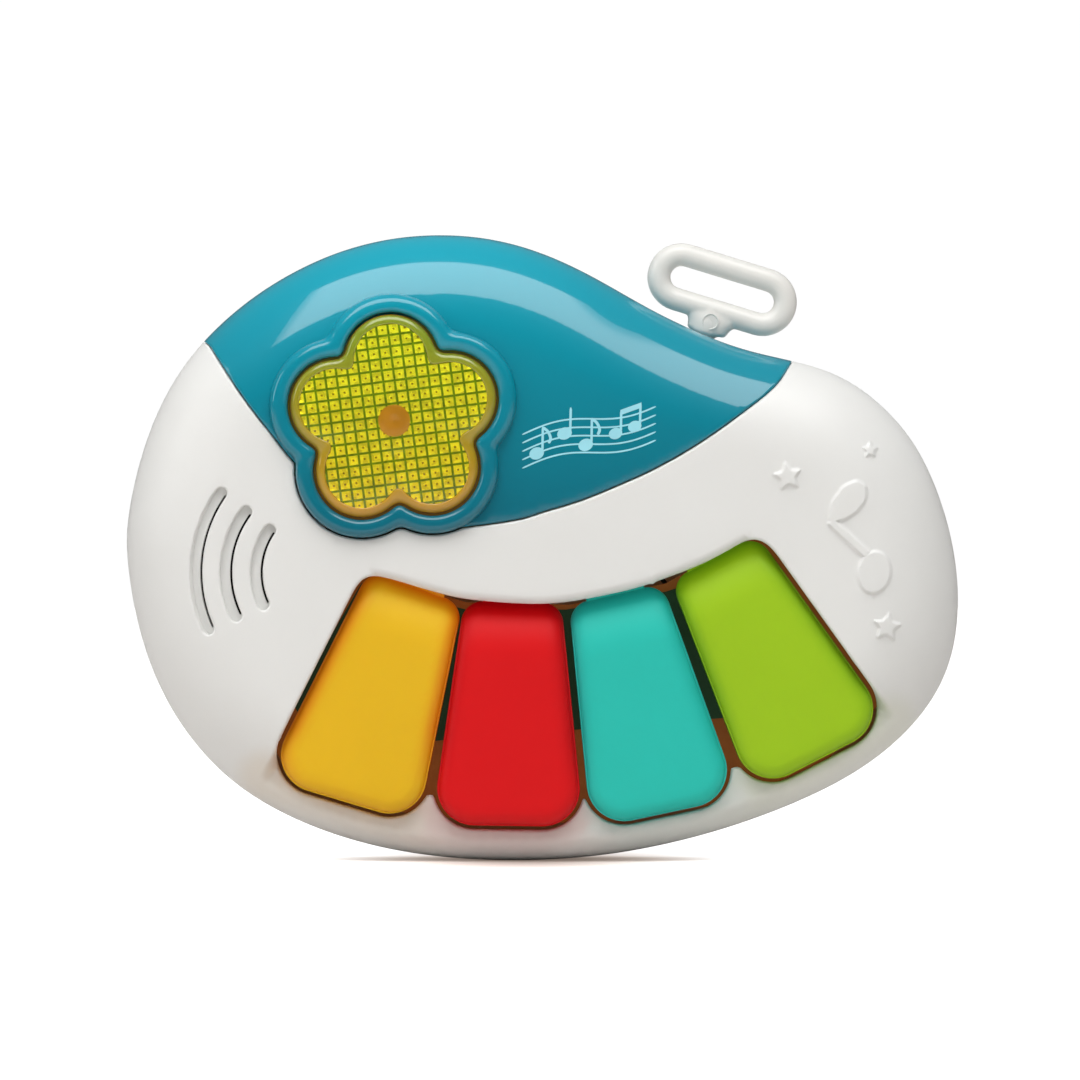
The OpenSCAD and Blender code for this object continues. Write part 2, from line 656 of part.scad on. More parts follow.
// ---- loudspeaker ----
// into the frame of the loudspeaker: +Z towards the front of the case
module at_speaker() {
    translate([speaker[0], 0, speaker[1]]) rotate([90, 0, 0]) children();
}
module speaker_basket() {
    color([0.6, 0.6, 0.6]) at_speaker() difference() {
        union() {
            translate([0, 0, 6.4]) cylinder(h = 1, r = 15.3);
            translate([0, 0, 1.6]) cylinder(h = 4.8, r1 = 8.6, r2 = 14.2);
        }
        translate([0, 0, 2.4]) cylinder(h = 5.2, r1 = 7.2, r2 = 13.4);
        translate([0, 0, 1]) cylinder(h = 2, r = 4.2);
    }
}
module speaker_magnet() { color([0.15, 0.15, 0.16]) rod(speaker, 7.5, -1.6, 2); }
module speaker_cone() {
    color([0.12, 0.12, 0.12]) at_speaker() {
        difference() {
            translate([0, 0, 3.1]) cylinder(h = 4.3, r1 = 4.6, r2 = 12.6);
            translate([0, 0, 3.7]) cylinder(h = 4.5, r1 = 4.6, r2 = 12.9);
        }
        translate([0, 0, 3.1]) cylinder(h = 2.6, r = 4.4);
    }
}
module speaker_clamp() {
    color([0.1, 0.1, 0.11]) difference() {
        union() {
            rod(speaker, 17.2, clamp_front, clamp_back);
            rods(SPEAKER_POSTS, 3, clamp_front, clamp_back);
            difference() {
                rod(speaker, 15.6, -6.3, clamp_back);
                rod(speaker, 14.4, -7, -3);
            }
        }
        rod(speaker, 12.6, -8, 0);
        rod(speaker, 14.4, -8, -4.4);
        rods(SPEAKER_POSTS, 1.1, -8, 0);
        // room for the key frame and the nearest posts
        box([-49, -3.75, 40], [-40, 1, 90]);
        rods([FRAME_POSTS[0], BOARD_POSTS[3]], 2.9, -8, 0);
    }
}
module speaker_screws() { color(SCREW_COLOR) screws(SPEAKER_POSTS, clamp_back, 6, 0.8, 1.8, 1.2); }

// ---- wires ----
wire_radius = 0.5;
// points (x, y, z) from the loudspeaker to the key board
SPEAKER_WIRES = [
    [[-54, 0.6, 57.5], [-50, 3.4, 50], [-40, 3.2, 44], [-34, 1.75, 42]],
    [[-55, 0.6, 54.5], [-51, 3.4, 47], [-41, 3.2, 41], [-34, 1.75, 39]]];
module speaker_wires() {
    color([0.75, 0.1, 0.1]) for (path = SPEAKER_WIRES) {
        for (i = [0:len(path) - 2]) bar(path[i], path[i + 1], wire_radius);
        for (i = [1:len(path) - 2]) translate(path[i]) rotate([25, 35, 15])
            sphere(wire_radius * 1.35, $fn = 24);
    }
}
module battery_wires() {
    color([0.1, 0.1, 0.1]) {
        bar([21, 6.5, 64.5], [31, 1.75, 51], wire_radius);
        bar([21, 8, 67], [45, 9.6, 60], wire_radius);
    }
}

// ---- battery bay ----
cell_y = 11.15;
cell_z = 7.7; // height of each cell above or below the bay centre
cell_radius = 7.1;
cell_body = 48.6;
cell_tip = 1.8;
// two cells side by side, the upper with its tip to the right, the lower to the left
module battery_cells() {
    color([0.2, 0.2, 0.22]) for (s = [-1, 1])
        translate([battery[0] - 25.2, cell_y, battery[1] + s * cell_z]) rotate([0, 90, 0]) {
            translate([0, 0, s > 0 ? 0 : cell_tip]) cylinder(h = cell_body, r = cell_radius);
            cylinder(h = cell_body + cell_tip, r = 2.7);
        }
}
// square contact plate at one end of the bay, with its own shape on it, facing inward;
// side is -1 for left, row is 1 for the upper cell
module contact(side, row) {
    translate([battery[0] + side * 29.3, cell_y, battery[1] + row * cell_z])
        rotate([0, side * -90, 0]) {
            translate([-5, -5, 0]) cube([10, 10, 0.4]);
            children();
        }
}
module battery_springs() {
    color(CONTACT_COLOR) for (s = [-1, 1]) contact(s, -s) difference() {
        cylinder(h = 3.9, r1 = 3.6, r2 = 2.6);
        translate([0, 0, 0.4]) cylinder(h = 4, r1 = 3, r2 = 2);
    }
}
module battery_tabs() {
    color(CONTACT_COLOR) for (s = [-1, 1]) contact(s, s) cylinder(h = 4, r = 2.2);
}
door_screw_seat = 19.2;
module battery_door() {
    color([0.84, 0.84, 0.83]) difference() {
        union() {
            block(battery, door_half, door_front, back_y);
            rod(door_tab, 3.8, door_front, back_y);
            door_tab_neck(3.4, door_front, back_y);
        }
        rod(door_tab, 1.4, 10, behind);
        rod(door_tab, 2.5, door_screw_seat, behind);
        // row of short grooves near the lower edge
        for (i = [-2:2]) block(battery + [i * 5, -11], [1, 3], 19.6, 21);
    }
}
module door_screw() { color(SCREW_COLOR) screws([door_tab], door_screw_seat, 7, 1, 2.3, 0.7); }

// ---- power switch ----
module switch_body() {
    color([0.1, 0.1, 0.1]) difference() {
        union() {
            block(power_switch, [6.5, 3], 10.2, 13.8);
            block(power_switch, [11.2, 3], 13.4, 14.1);
        }
        block(power_switch, [5, 1.6], 12.6, 15);
        rods(SWITCH_POSTS, 1, 10, 20);
    }
}
module switch_knob() {
    knob = power_switch - [2.5, 0];
    color([0.08, 0.08, 0.09]) difference() {
        union() {
            block(knob, [2.5, 1.5], 17.9, 19.8);
            block(knob, [1.9, 1.4], 12.8, 18.4);
        }
        for (i = [0:2]) block(power_switch + [-3.8 + i * 1.4, 0], [0.3, 2], 19.5, 21);
    }
}

front_shell();
rear_shell();
top_panel();
flower_button();
flower_dome();
flower_board();
flower_leds();
flower_board_screws();
key_yellow();
key_red();
key_turquoise();
key_green();
key_frame();
key_frame_screws();
hinge_pins();
dome_yellow();
dome_red();
dome_turquoise();
dome_green();
keypad_sheet();
key_board();
chip_blob();
board_parts();
board_screws();
speaker_basket();
speaker_magnet();
speaker_cone();
speaker_clamp();
speaker_screws();
speaker_wires();
battery_wires();
battery_cells();
battery_springs();
battery_tabs();
battery_door();
door_screw();
switch_body();
switch_knob();
hang_loop();
case_screws();
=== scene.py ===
"""Toy with four coloured keys, a flower button, a two-part case and a hanging loop.

It stands upright on z = 0 and faces -y, with +x to the right as seen from the front. Shapes are
worked out in millimetres, mostly as front views of (x, z) points, and meshes are made in metres.
"""

import json
import math

import bmesh
import bpy
import numpy as np
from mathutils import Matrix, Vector
from mathutils.geometry import delaunay_2d_cdt


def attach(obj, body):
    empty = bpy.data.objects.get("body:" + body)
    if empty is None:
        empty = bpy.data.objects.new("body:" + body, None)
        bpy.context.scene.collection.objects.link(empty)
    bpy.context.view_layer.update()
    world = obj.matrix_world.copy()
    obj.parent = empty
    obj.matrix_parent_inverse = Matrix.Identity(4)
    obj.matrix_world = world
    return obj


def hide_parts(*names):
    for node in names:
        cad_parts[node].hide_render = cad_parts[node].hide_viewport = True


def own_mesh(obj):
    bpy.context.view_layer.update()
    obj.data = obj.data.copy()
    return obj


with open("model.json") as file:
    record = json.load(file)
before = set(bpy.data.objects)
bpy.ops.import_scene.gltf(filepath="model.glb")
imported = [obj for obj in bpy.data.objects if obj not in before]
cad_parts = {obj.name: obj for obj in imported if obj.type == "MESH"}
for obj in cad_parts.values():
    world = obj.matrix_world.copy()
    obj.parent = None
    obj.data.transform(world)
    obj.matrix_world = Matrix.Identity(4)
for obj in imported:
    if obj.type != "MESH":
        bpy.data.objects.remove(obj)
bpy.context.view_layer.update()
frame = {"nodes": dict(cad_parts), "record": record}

# ------------------------------------------------------------------ driving dimensions (mm)
# Knots of the case outline (x, z), clockwise from the upper left
OUTLINE_KNOTS = np.array([
    [-25.3, 130.8], [-12.5, 130.3], [-0.5, 127.2], [10.8, 122], [21.5, 115.9], [31.8, 110.9],
    [41.9, 107], [52, 104.6], [61.6, 101.6], [70, 96], [77.4, 87.8], [82.6, 77.3], [86, 65.3],
    [87, 53.6], [85.6, 42.8], [81.2, 33], [73, 23.9], [62.1, 16.4], [48.2, 10.1], [33.1, 5.1],
    [16.3, 1.5], [-0.5, 0], [-17.3, 0.3], [-33.7, 2.6], [-49.2, 7.4], [-62.9, 14.8],
    [-72.8, 24.4], [-79.9, 35.5], [-84.7, 48.7], [-87, 62.8], [-86.8, 72.2], [-83.9, 85.3],
    [-78.6, 98.1], [-70.9, 108.8], [-60.2, 118.2], [-48.4, 125], [-37.1, 129]])
SEAM = 3.0  # y where the case halves meet
FRONT_RIM, FRONT_CROWN, FRONT_REACH = -3, -17.5, 21.0  # y at the rim and crown, width of the slope
BACK_RIM, BACK_CROWN, BACK_REACH = 8, 20.0, 19.0
LIP = -10.6  # y of the flatter lip below the keys
WALL = 2.2  # thickness of the case

# Corners of each key's face (x, z), clockwise from its upper left
KEYS = np.array([
    [[-36.1, 61.1], [-16.65, 53.6], [-25.9, 8], [-57.9, 17.6]],
    [[-16.4, 54.4], [4, 54], [8.7, 7.35], [-23.2, 7.8]],
    [[5.5, 53.5], [25, 58.1], [41.1, 13.5], [10.1, 6.9]],
    [[26.8, 58.55], [44.8, 68.3], [72.8, 29.2], [43.8, 14.3]]])
KEY_RADII = [4.6, 4.6, 7.8, 7.8]
KEY_NAMES = ["yellow", "red", "turquoise", "green"]
KEY_GAP = 0.85  # between a key and the edge of its well
PRESS_DROP = 20  # from the middle of a key's top edge down to its plunger
KEY_FACE = -15.85

# Lower edge of the band above the keys (x, z)
BAND = np.array([
    [-60, 66], [-40, 61.2], [-32.5, 59.3], [-29.9, 58.6], [-23.5, 56.7], [-17.6, 55.2],
    [-10, 54.3], [-2.6, 53.9], [2, 54], [6.5, 54.5], [13.5, 55.8], [20.2, 57.4], [27.7, 60],
    [32.5, 61.9], [36.8, 64], [41.8, 66.9], [46, 70], [60, 82]])
# Lower edge of the top panel (x, z)
PANEL = np.array([
    [-69.6, 107.9], [-62.5, 97.3], [-56.6, 89.6], [-50, 82], [-40, 76.5], [-30, 71],
    [-21.5, 69.6], [-13.1, 70.3], [-4.7, 71.6], [0.5, 73.2], [7.4, 75.3], [14.2, 78],
    [23.3, 82.1], [32.4, 87.3], [41.5, 93.7], [48.3, 99.2], [51.8, 104]])

FLOWER = np.array([-30.8, 92.0])
PETAL_ANGLES = np.radians([93.3, 21.3, -50.7, -122.7, 165.3])
PETAL_REACH = 12.5  # from the flower's centre to a petal's
PETAL_CENTRES = FLOWER + PETAL_REACH * np.stack([np.cos(PETAL_ANGLES), np.sin(PETAL_ANGLES)], 1)
RING_HOLE = 10.1  # petal radius of the hole in the raised ring
LENS_SHAPE = (9.66, 2.4)  # petal radius and notch rounding
FLOWER_TOP = -19.6
PRISM_PITCH = 2.37
PRISM_TILT = math.radians(7.5)

BATTERY = np.array([-11.0, 79.0])
BATTERY_TAB = BATTERY + [0, 20.5]
SWITCH = np.array([48.0, 60.0])
CASE_SCREWS = [[-71, 86], [-66, 30], [77, 44], [66, 87], [6, 111]]

NO_POINTS = np.empty((0, 2))
CHUNK = 3000  # points handled at once, to limit memory


# ------------------------------------------------------------------ plane geometry
def length(vectors):
    return np.hypot(*vectors.T)


def unit(vector):
    return vector / length(vector)


def turned(vector):
    """The vector a quarter turn anticlockwise."""
    return np.array([-vector[1], vector[0]])


def smooth(value):
    value = np.clip(value, 0, 1)
    return value * value * (3 - 2 * value)


def polar(centre, radius, angle):
    return centre + radius * np.array([math.cos(angle), math.sin(angle)])


def directions(count):
    """Unit vectors all round, turned slightly so that none lies along an axis."""
    angles = np.linspace(0, 2 * np.pi, count, endpoint=False) + 0.0137
    return np.stack([np.cos(angles), np.sin(angles)], 1)


def circle(centre, radius, count):
    return centre + radius * directions(count)


def outline(controls, steps):
    """Points and inward normals of the closed cubic B-spline of some controls."""
    count = len(controls)
    points, normals = [], []
    for i in range(count):
        before, start, end, after = (controls[(i + k) % count] for k in (-1, 0, 1, 2))
        for k in range(steps):
            t = k / steps
            points.append(((1 - t) ** 3 * before + (3 * t**3 - 6 * t * t + 4) * start
                + (-3 * t**3 + 3 * t * t + 3 * t + 1) * end + t**3 * after) / 6)
            slope = (-3 * (1 - t) ** 2 * before + (9 * t * t - 12 * t) * start
                + (-9 * t * t + 6 * t + 3) * end + 3 * t * t * after)
            normals.append(np.array([slope[1], -slope[0]]) / length(slope))
    return np.array(points), np.array(normals)


def distance(points, line, closed=True):
    """Distance of each point from a polyline."""
    start = line if closed else line[:-1]
    run = (np.roll(line, -1, 0) if closed else line[1:]) - start
    run_squared = np.maximum((run * run).sum(1), 1e-12)
    found = np.empty(len(points))
    for first in range(0, len(points), CHUNK):
        away = points[first : first + CHUNK, None, :] - start[None]
        along = np.clip((away * run[None]).sum(2) / run_squared, 0, 1)
        away = away - along[..., None] * run[None]
        found[first : first + CHUNK] = np.sqrt((away * away).sum(2).min(1))
    return found


def inside(points, loop):
    """Whether each point lies inside a closed loop."""
    found = np.zeros(len(points), bool)
    start, end = loop, np.roll(loop, -1, 0)
    for first in range(0, len(points), CHUNK):
        x = points[first : first + CHUNK, 0, None]
        z = points[first : first + CHUNK, 1, None]
        spans = (start[None, :, 1] > z) != (end[None, :, 1] > z)
        with np.errstate(divide="ignore", invalid="ignore"):
            cross_x = ((end[:, 0] - start[:, 0])[None] * (z - start[None, :, 1])
                / (end[:, 1] - start[:, 1])[None] + start[None, :, 0])
        found[first : first + CHUNK] = (np.sum(spans & (x < cross_x), 1) % 2) == 1
    return found


def in_region(points, loops):
    """Whether each point lies in the even-odd region bounded by loops."""
    count = np.zeros(len(points), int)
    for loop in loops:
        count += inside(points, loop)
    return count % 2 == 1


def ccw(loop):
    """The loop, made to run anticlockwise."""
    after = np.roll(loop, -1, 0)
    area = ((loop[:, 0] * after[:, 1]) - (after[:, 0] * loop[:, 1])).sum()
    return loop if area > 0 else loop[::-1].copy()


def line_normals(line, closed=False):
    """Unit normals to the left of a line's direction."""
    along = np.roll(line, -1, 0) - np.roll(line, 1, 0) if closed else np.gradient(line, axis=0)
    size = np.maximum(np.hypot(along[:, 0], along[:, 1]), 1e-9)
    return np.stack([-along[:, 1], along[:, 0]], 1) / size[:, None]


def resample(line, step, closed=True, corner=25.0):
    """Points along a polyline at about the given step; corners above some degrees stay."""
    line = np.asarray(line, float)
    path = np.vstack([line, line[:1]]) if closed else line
    kept = [0]
    for i in range(1, len(path) - 1):
        before, after = path[i] - path[i - 1], path[i + 1] - path[i]
        cosine = (before @ after) / max(length(before) * length(after), 1e-12)
        if cosine < math.cos(math.radians(corner)):
            kept.append(i)
    kept.append(len(path) - 1)
    pieces = []
    for first, last in zip(kept[:-1], kept[1:]):
        piece = path[first : last + 1]
        travelled = np.concatenate([[0], np.cumsum(length(np.diff(piece, axis=0)))])
        count = max(1, int(round(travelled[-1] / step)))
        stops = np.linspace(0, travelled[-1], count + 1)[:-1]
        pieces.append(np.stack([np.interp(stops, travelled, piece[:, 0]),
            np.interp(stops, travelled, piece[:, 1])], 1))
    points = np.vstack(pieces)
    return points if closed else np.vstack([points, path[-1:]])


def blurred(loop, sigma, step):
    """A closed loop resampled, and the same points after a Gaussian blur along it."""
    points = resample(loop, step, corner=179)
    reach = int(3 * sigma / step) + 1
    weights = np.exp(-0.5 * (np.arange(-reach, reach + 1) * step / sigma) ** 2)
    weights /= weights.sum()
    soft = np.zeros_like(points)
    for shift, weight in zip(range(-reach, reach + 1), weights):
        soft += weight * np.roll(points, shift, 0)
    return points, soft


def soften(loop, sigma, step=0.25):
    """Rounds the corners of a closed loop."""
    return blurred(loop, sigma, step)[1]


def soften_at(loop, spots, sigma, reach, step=0.25):
    """Rounds a closed loop close to the given spots only."""
    points, soft = blurred(loop, sigma, step)
    near = np.zeros(len(points))
    for spot in spots:
        near = np.maximum(near, smooth(1.6 - length(points - spot) / reach))
    return points + (soft - points) * near[:, None]


def combine(first, second, mode):
    """Boundary of two simple shapes: "plus" joins, "minus" cuts the second away, "shared" overlaps.

    It walks along one loop and changes over at each crossing."""
    first, second = ccw(first), ccw(second)
    if mode == "minus":
        second = second[::-1].copy()
    run_1, run_2 = np.roll(first, -1, 0) - first, np.roll(second, -1, 0) - second
    x_1, z_1 = run_1[:, None, 0], run_1[:, None, 1]
    x_2, z_2 = run_2[None, :, 0], run_2[None, :, 1]
    scale = x_1 * z_2 - z_1 * x_2
    between = second[None] - first[:, None]
    with np.errstate(divide="ignore", invalid="ignore"):
        part_1 = (between[..., 0] * z_2 - between[..., 1] * x_2) / scale
        part_2 = (between[..., 0] * z_1 - between[..., 1] * x_1) / scale
    hits = np.argwhere((part_1 >= 0) & (part_1 < 1) & (part_2 >= 0) & (part_2 < 1))
    if not len(hits):
        return first
    on_first, on_second = [[] for _ in first], [[] for _ in second]
    for n, (i, j) in enumerate(hits):
        on_first[i].append((part_1[i, j], n))
        on_second[j].append((part_2[i, j], n))
    crossings = [first[i] + part_1[i, j] * run_1[i] for i, j in hits]

    def chain(loop, per_point):
        """The loop with its crossings in place, and where each crossing is."""
        sequence, places = [], {}
        for i, point in enumerate(loop):
            sequence.append((point, -1))
            for _, n in sorted(per_point[i]):
                places[n] = len(sequence)
                sequence.append((crossings[n], n))
        return sequence, places

    chains, places = zip(chain(first, on_first), chain(second, on_second))
    covered = inside(first, second)
    usable = np.where(covered if mode == "shared" else ~covered)[0]
    start = first[usable[len(usable) // 2]]
    begin = next(k for k, (p, n) in enumerate(chains[0]) if n < 0 and np.allclose(p, start))
    at, which, walked = begin, 0, []
    for _ in range(len(chains[0]) + len(chains[1]) + 10):
        point, n = chains[which][at]
        walked.append(point)
        if n >= 0 and len(walked) > 1:
            which = 1 - which
            at = places[which][n]
        at = (at + 1) % len(chains[which])
        if which == 0 and at == begin:
            break
    walked = np.array(walked)
    kept = [0]
    for i in range(1, len(walked)):
        if length(walked[i] - walked[kept[-1]]) > 0.02:
            kept.append(i)
    if length(walked[kept[-1]] - walked[0]) < 0.02:
        kept.pop()
    return walked[kept]


def grown(corners, gap):
    """Clockwise quadrilateral with its sides moved outwards."""
    moved = []
    for i in range(4):
        corner = corners[i]
        side_1, side_2 = unit(corner - corners[i - 1]), unit(corners[(i + 1) % 4] - corner)
        start = corner + gap * turned(side_1)
        other = corner + gap * turned(side_2)
        reach = (other[0] - start[0]) * side_2[1] - (other[1] - start[1]) * side_2[0]
        moved.append(start + side_1 * reach / (side_1[0] * side_2[1] - side_1[1] * side_2[0]))
    return np.array(moved)


def rounded(corners, radii, steps=14):
    """Clockwise quadrilateral with an arc at each corner."""
    points = []
    for i in range(4):
        corner, radius = corners[i], radii[i]
        side_1, side_2 = unit(corner - corners[i - 1]), unit(corners[(i + 1) % 4] - corner)
        turn = math.acos(side_1 @ side_2)
        start = corner - side_1 * radius * math.tan(turn / 2)
        centre = start - radius * turned(side_1)
        angle = math.atan2(start[1] - centre[1], start[0] - centre[0])
        points += [polar(centre, radius, angle - turn * k / steps) for k in range(steps + 1)]
    return np.array(points)


def rect(centre, width, height, radius):
    x, z = centre
    corners = [[x - width / 2, z + height / 2], [x + width / 2, z + height / 2],
        [x + width / 2, z - height / 2], [x - width / 2, z - height / 2]]
    return ccw(rounded(np.array(corners, float), [radius] * 4, 8))


def fine(line, steps=8):
    """Smooth open curve through given points."""
    knots = np.vstack([2 * line[0] - line[1], line, 2 * line[-1] - line[-2]])
    points = []
    for i in range(1, len(knots) - 2):
        before, start, end, after = knots[i - 1 : i + 3]
        for k in range(steps):
            t = k / steps
            points.append(0.5 * (2 * start + (end - before) * t
                + (2 * before - 5 * start + 4 * end - after) * t * t
                + (3 * start - before - 3 * end + after) * t**3))
    points.append(knots[-2])
    return np.array(points)


def egg(centre, radius_x, radius_z, tilt):
    angles = np.linspace(0, 2 * np.pi, 72, endpoint=False)
    points = np.stack([radius_x * np.cos(angles), radius_z * np.sin(angles)], 1)
    tilt = math.radians(tilt)
    turn = [[math.cos(tilt), math.sin(tilt)], [-math.sin(tilt), math.cos(tilt)]]
    return points @ np.array(turn) + centre


def star(centre, radius, lean):
    """Five-pointed star with slightly rounded points."""
    corners = [polar(np.array(centre), radius if i % 2 == 0 else radius * 0.5,
        math.radians(90 + 36 * i + lean)) for i in range(10)]
    return soften(np.array(corners), 0.22, 0.12)


def arc_slot(stations, width, shift):
    """Round-ended slot along the arc through three points, moved towards the arc's centre."""
    start, middle, end = np.array(stations, float)
    scale = 2 * (start[0] * (middle[1] - end[1]) + middle[0] * (end[1] - start[1])
        + end[0] * (start[1] - middle[1]))
    squares = start @ start, middle @ middle, end @ end
    centre = np.array([
        (squares[0] * (middle[1] - end[1]) + squares[1] * (end[1] - start[1])
            + squares[2] * (start[1] - middle[1])) / scale,
        (squares[0] * (end[0] - middle[0]) + squares[1] * (start[0] - end[0])
            + squares[2] * (middle[0] - start[0])) / scale])
    radius = length(start - centre) - shift
    angle_1 = math.atan2(*(start - centre)[::-1])
    angle_2 = math.atan2(*(end - centre)[::-1]) % (2 * math.pi)
    angles = np.linspace(angle_1, angle_2, 50)
    outer = [polar(centre, radius + width / 2, angle) for angle in angles]
    inner = [polar(centre, radius - width / 2, angle) for angle in angles[::-1]]

    def cap(angle, first):
        tip = polar(centre, radius, angle)
        return [polar(tip, width / 2, first + k) for k in np.linspace(0, math.pi, 12)[1:-1]]

    return ccw(np.array(outer + cap(angle_2, angle_2) + inner + cap(angle_1, angle_1 + math.pi)))


def petal_distance(points, radius, blend=1.9):
    """Signed distance from the flower shape, with its notches rounded over blend."""
    away = np.sort([length(points - centre) for centre in PETAL_CENTRES], 0)
    notch = np.maximum(blend - (away[1] - away[0]), 0) / blend
    nearest = away[0] - notch * notch * blend / 4
    return np.minimum(nearest - radius, length(points - FLOWER) - radius - 0.6)


def petals(radius, blend=1.9):
    """Flower outline, found by bisection along 300 directions."""
    rays = directions(300)
    low, high = np.full(len(rays), 9.5 if radius < 9 else 10.8), np.full(len(rays), 36.0)
    for _ in range(44):
        middle = (low + high) / 2
        outside = petal_distance(FLOWER + rays * middle[:, None], radius, blend) > 0
        high = np.where(outside, middle, high)
        low = np.where(outside, low, middle)
    return FLOWER + rays * low[:, None]


def in_walking_order(indices, jump):
    """Indices along a loop, started after the first gap wider than jump."""
    breaks = np.where(np.diff(indices) > jump)[0]
    return np.roll(indices, -(breaks[0] + 1)) if len(breaks) else indices


# ------------------------------------------------------------------ front-view lines
controls = OUTLINE_KNOTS - (np.roll(OUTLINE_KNOTS, 1, 0) - 2 * OUTLINE_KNOTS
    + np.roll(OUTLINE_KNOTS, -1, 0)) / 6
coarse, _ = outline(controls, 2)
# centred on x = 0 with the lowest point on z = 0
controls = controls + [-(coarse[:, 0].min() + coarse[:, 0].max()) / 2, -coarse[:, 1].min()]
OUTLINE, INWARD = outline(controls, 16)
SILHOUETTE = ccw(OUTLINE)


def off_outline(loop):
    """The part of a loop away from the case outline, with one more point at each end."""
    run = in_walking_order(np.where(distance(loop, OUTLINE) > 0.05)[0], 1)
    return loop[np.concatenate([[run[0] - 1], run, [run[-1] + 1]]) % len(loop)]


def key_line(k, gap):
    return rounded(grown(KEYS[k], gap), [max(radius + gap, 0.6) for radius in KEY_RADII])


def key_axes(k):
    """Middle of a key's top edge, and the unit vector up the key."""
    top, bottom = (KEYS[k][0] + KEYS[k][1]) / 2, (KEYS[k][2] + KEYS[k][3]) / 2
    return top, unit(top - bottom)


def key_well():
    """Opening of the case round all four keys, cut straight by the band."""
    loop = key_line(0, KEY_GAP)
    for k in (1, 2, 3):
        left, right = KEYS[k - 1], KEYS[k]
        bridge = np.array([left[1] + [-3, 4], right[0] + [3, 4],
            right[0] + 0.87 * (right[3] - right[0]) + [2.5, 0],
            left[1] + 0.87 * (left[2] - left[1]) + [-2.5, 0]])
        loop = combine(combine(loop, bridge, "plus"), key_line(k, KEY_GAP), "plus")
    loop = combine(loop, np.vstack([band_line, [[60, 95], [-60, 95]]]), "minus")
    loop = soften(loop, 0.35)
    # the two upper corners are rounded like the keys' own
    corners = [loop[np.argmin(length(loop - spot))] for spot in ((-38.0, 60.5), (46.2, 68.8))]
    return soften_at(loop, corners, 1.9, 5.0)


band_line = fine(BAND)
panel_line = fine(PANEL)
panel_side = line_normals(panel_line)
above_panel = [[40, 150], [-70, 150], [-90, 128]]
panel_area = np.vstack([panel_line, [[58, 112]], above_panel, [[-76, 112]]])
panel_loop = combine(combine(SILHOUETTE, panel_area, "shared"), petals(13.8, 1.3), "plus")
panel_hole = petals(RING_HOLE, 1.7)
white_cut = np.vstack([panel_line - 0.24 * panel_side, [[58.4, 112]], above_panel,
    [[-76.6, 112]]])
white_loop = combine(SILHOUETTE, combine(white_cut, petals(14.1, 1.3), "plus"), "minus")
well = key_well()
band_edge = well[in_walking_order(np.where(distance(well, band_line, False) < 0.3)[0], 40)]


# ------------------------------------------------------------------ mesh builder
def lattice(low, high, pitch):
    """Triangular grid of points over a rectangle."""
    reach = int((length(high - low) / 2 + pitch) / pitch) + 2
    i, j = np.meshgrid(np.arange(-reach, reach + 1), np.arange(-reach, reach + 1))
    points = np.stack([(i + 0.5 * (j % 2)).ravel() * pitch,
        (j * math.sqrt(3) / 2).ravel() * pitch], 1) + (low + high) / 2
    return points[((points > low - pitch) & (points < high + pitch)).all(1)]


def flat_mesh(loops, points):
    """Triangles of the region bounded by loops, through the loops and the loose points."""
    edges, first = [], 0
    for loop in loops:
        count = len(loop)
        edges += [(first + i, first + (i + 1) % count) for i in range(count)]
        first += count
    corners = np.vstack(list(loops) + [points])
    result = delaunay_2d_cdt([Vector(p) for p in corners], edges, [], 0, 1e-5)
    corners, faces = np.array([tuple(p) for p in result[0]]), np.array(result[2])
    faces = faces[in_region(corners[faces].mean(1), loops)]
    start, middle, end = (corners[faces[:, k]] for k in range(3))
    area = ((middle[:, 0] - start[:, 0]) * (end[:, 1] - start[:, 1])
        - (middle[:, 1] - start[:, 1]) * (end[:, 0] - start[:, 0]))
    faces, area = faces[np.abs(area) > 1e-7], area[np.abs(area) > 1e-7]
    faces[area < 0] = faces[area < 0][:, ::-1]
    used = np.unique(faces)
    renumbered = -np.ones(len(corners), int)
    renumbered[used] = np.arange(len(used))
    return corners[used], renumbered[faces]


def roll_drop(inset, radius):
    """How far a rolled edge falls away at some distance from it."""
    inset = np.clip(inset, 0, radius)
    return radius - np.sqrt(np.maximum(radius * radius - (radius - inset) ** 2, 0))


def link(name, mesh):
    ob = bpy.data.objects.new(name, mesh)
    bpy.context.scene.collection.objects.link(ob)
    return ob


def make(name, points, faces, sharp):
    """Smooth-shaded object from points in mm, with edges sharp above some degrees."""
    mesh = bpy.data.meshes.new(name)
    mesh.from_pydata([tuple(p) for p in np.asarray(points) * 0.001], [],
        [tuple(int(i) for i in face) for face in faces])
    mesh.update()
    mesh.polygons.foreach_set("use_smooth", [True] * len(mesh.polygons))
    ob = link(name, mesh)
    mesh.set_sharp_from_angle(angle=math.radians(sharp))
    return ob


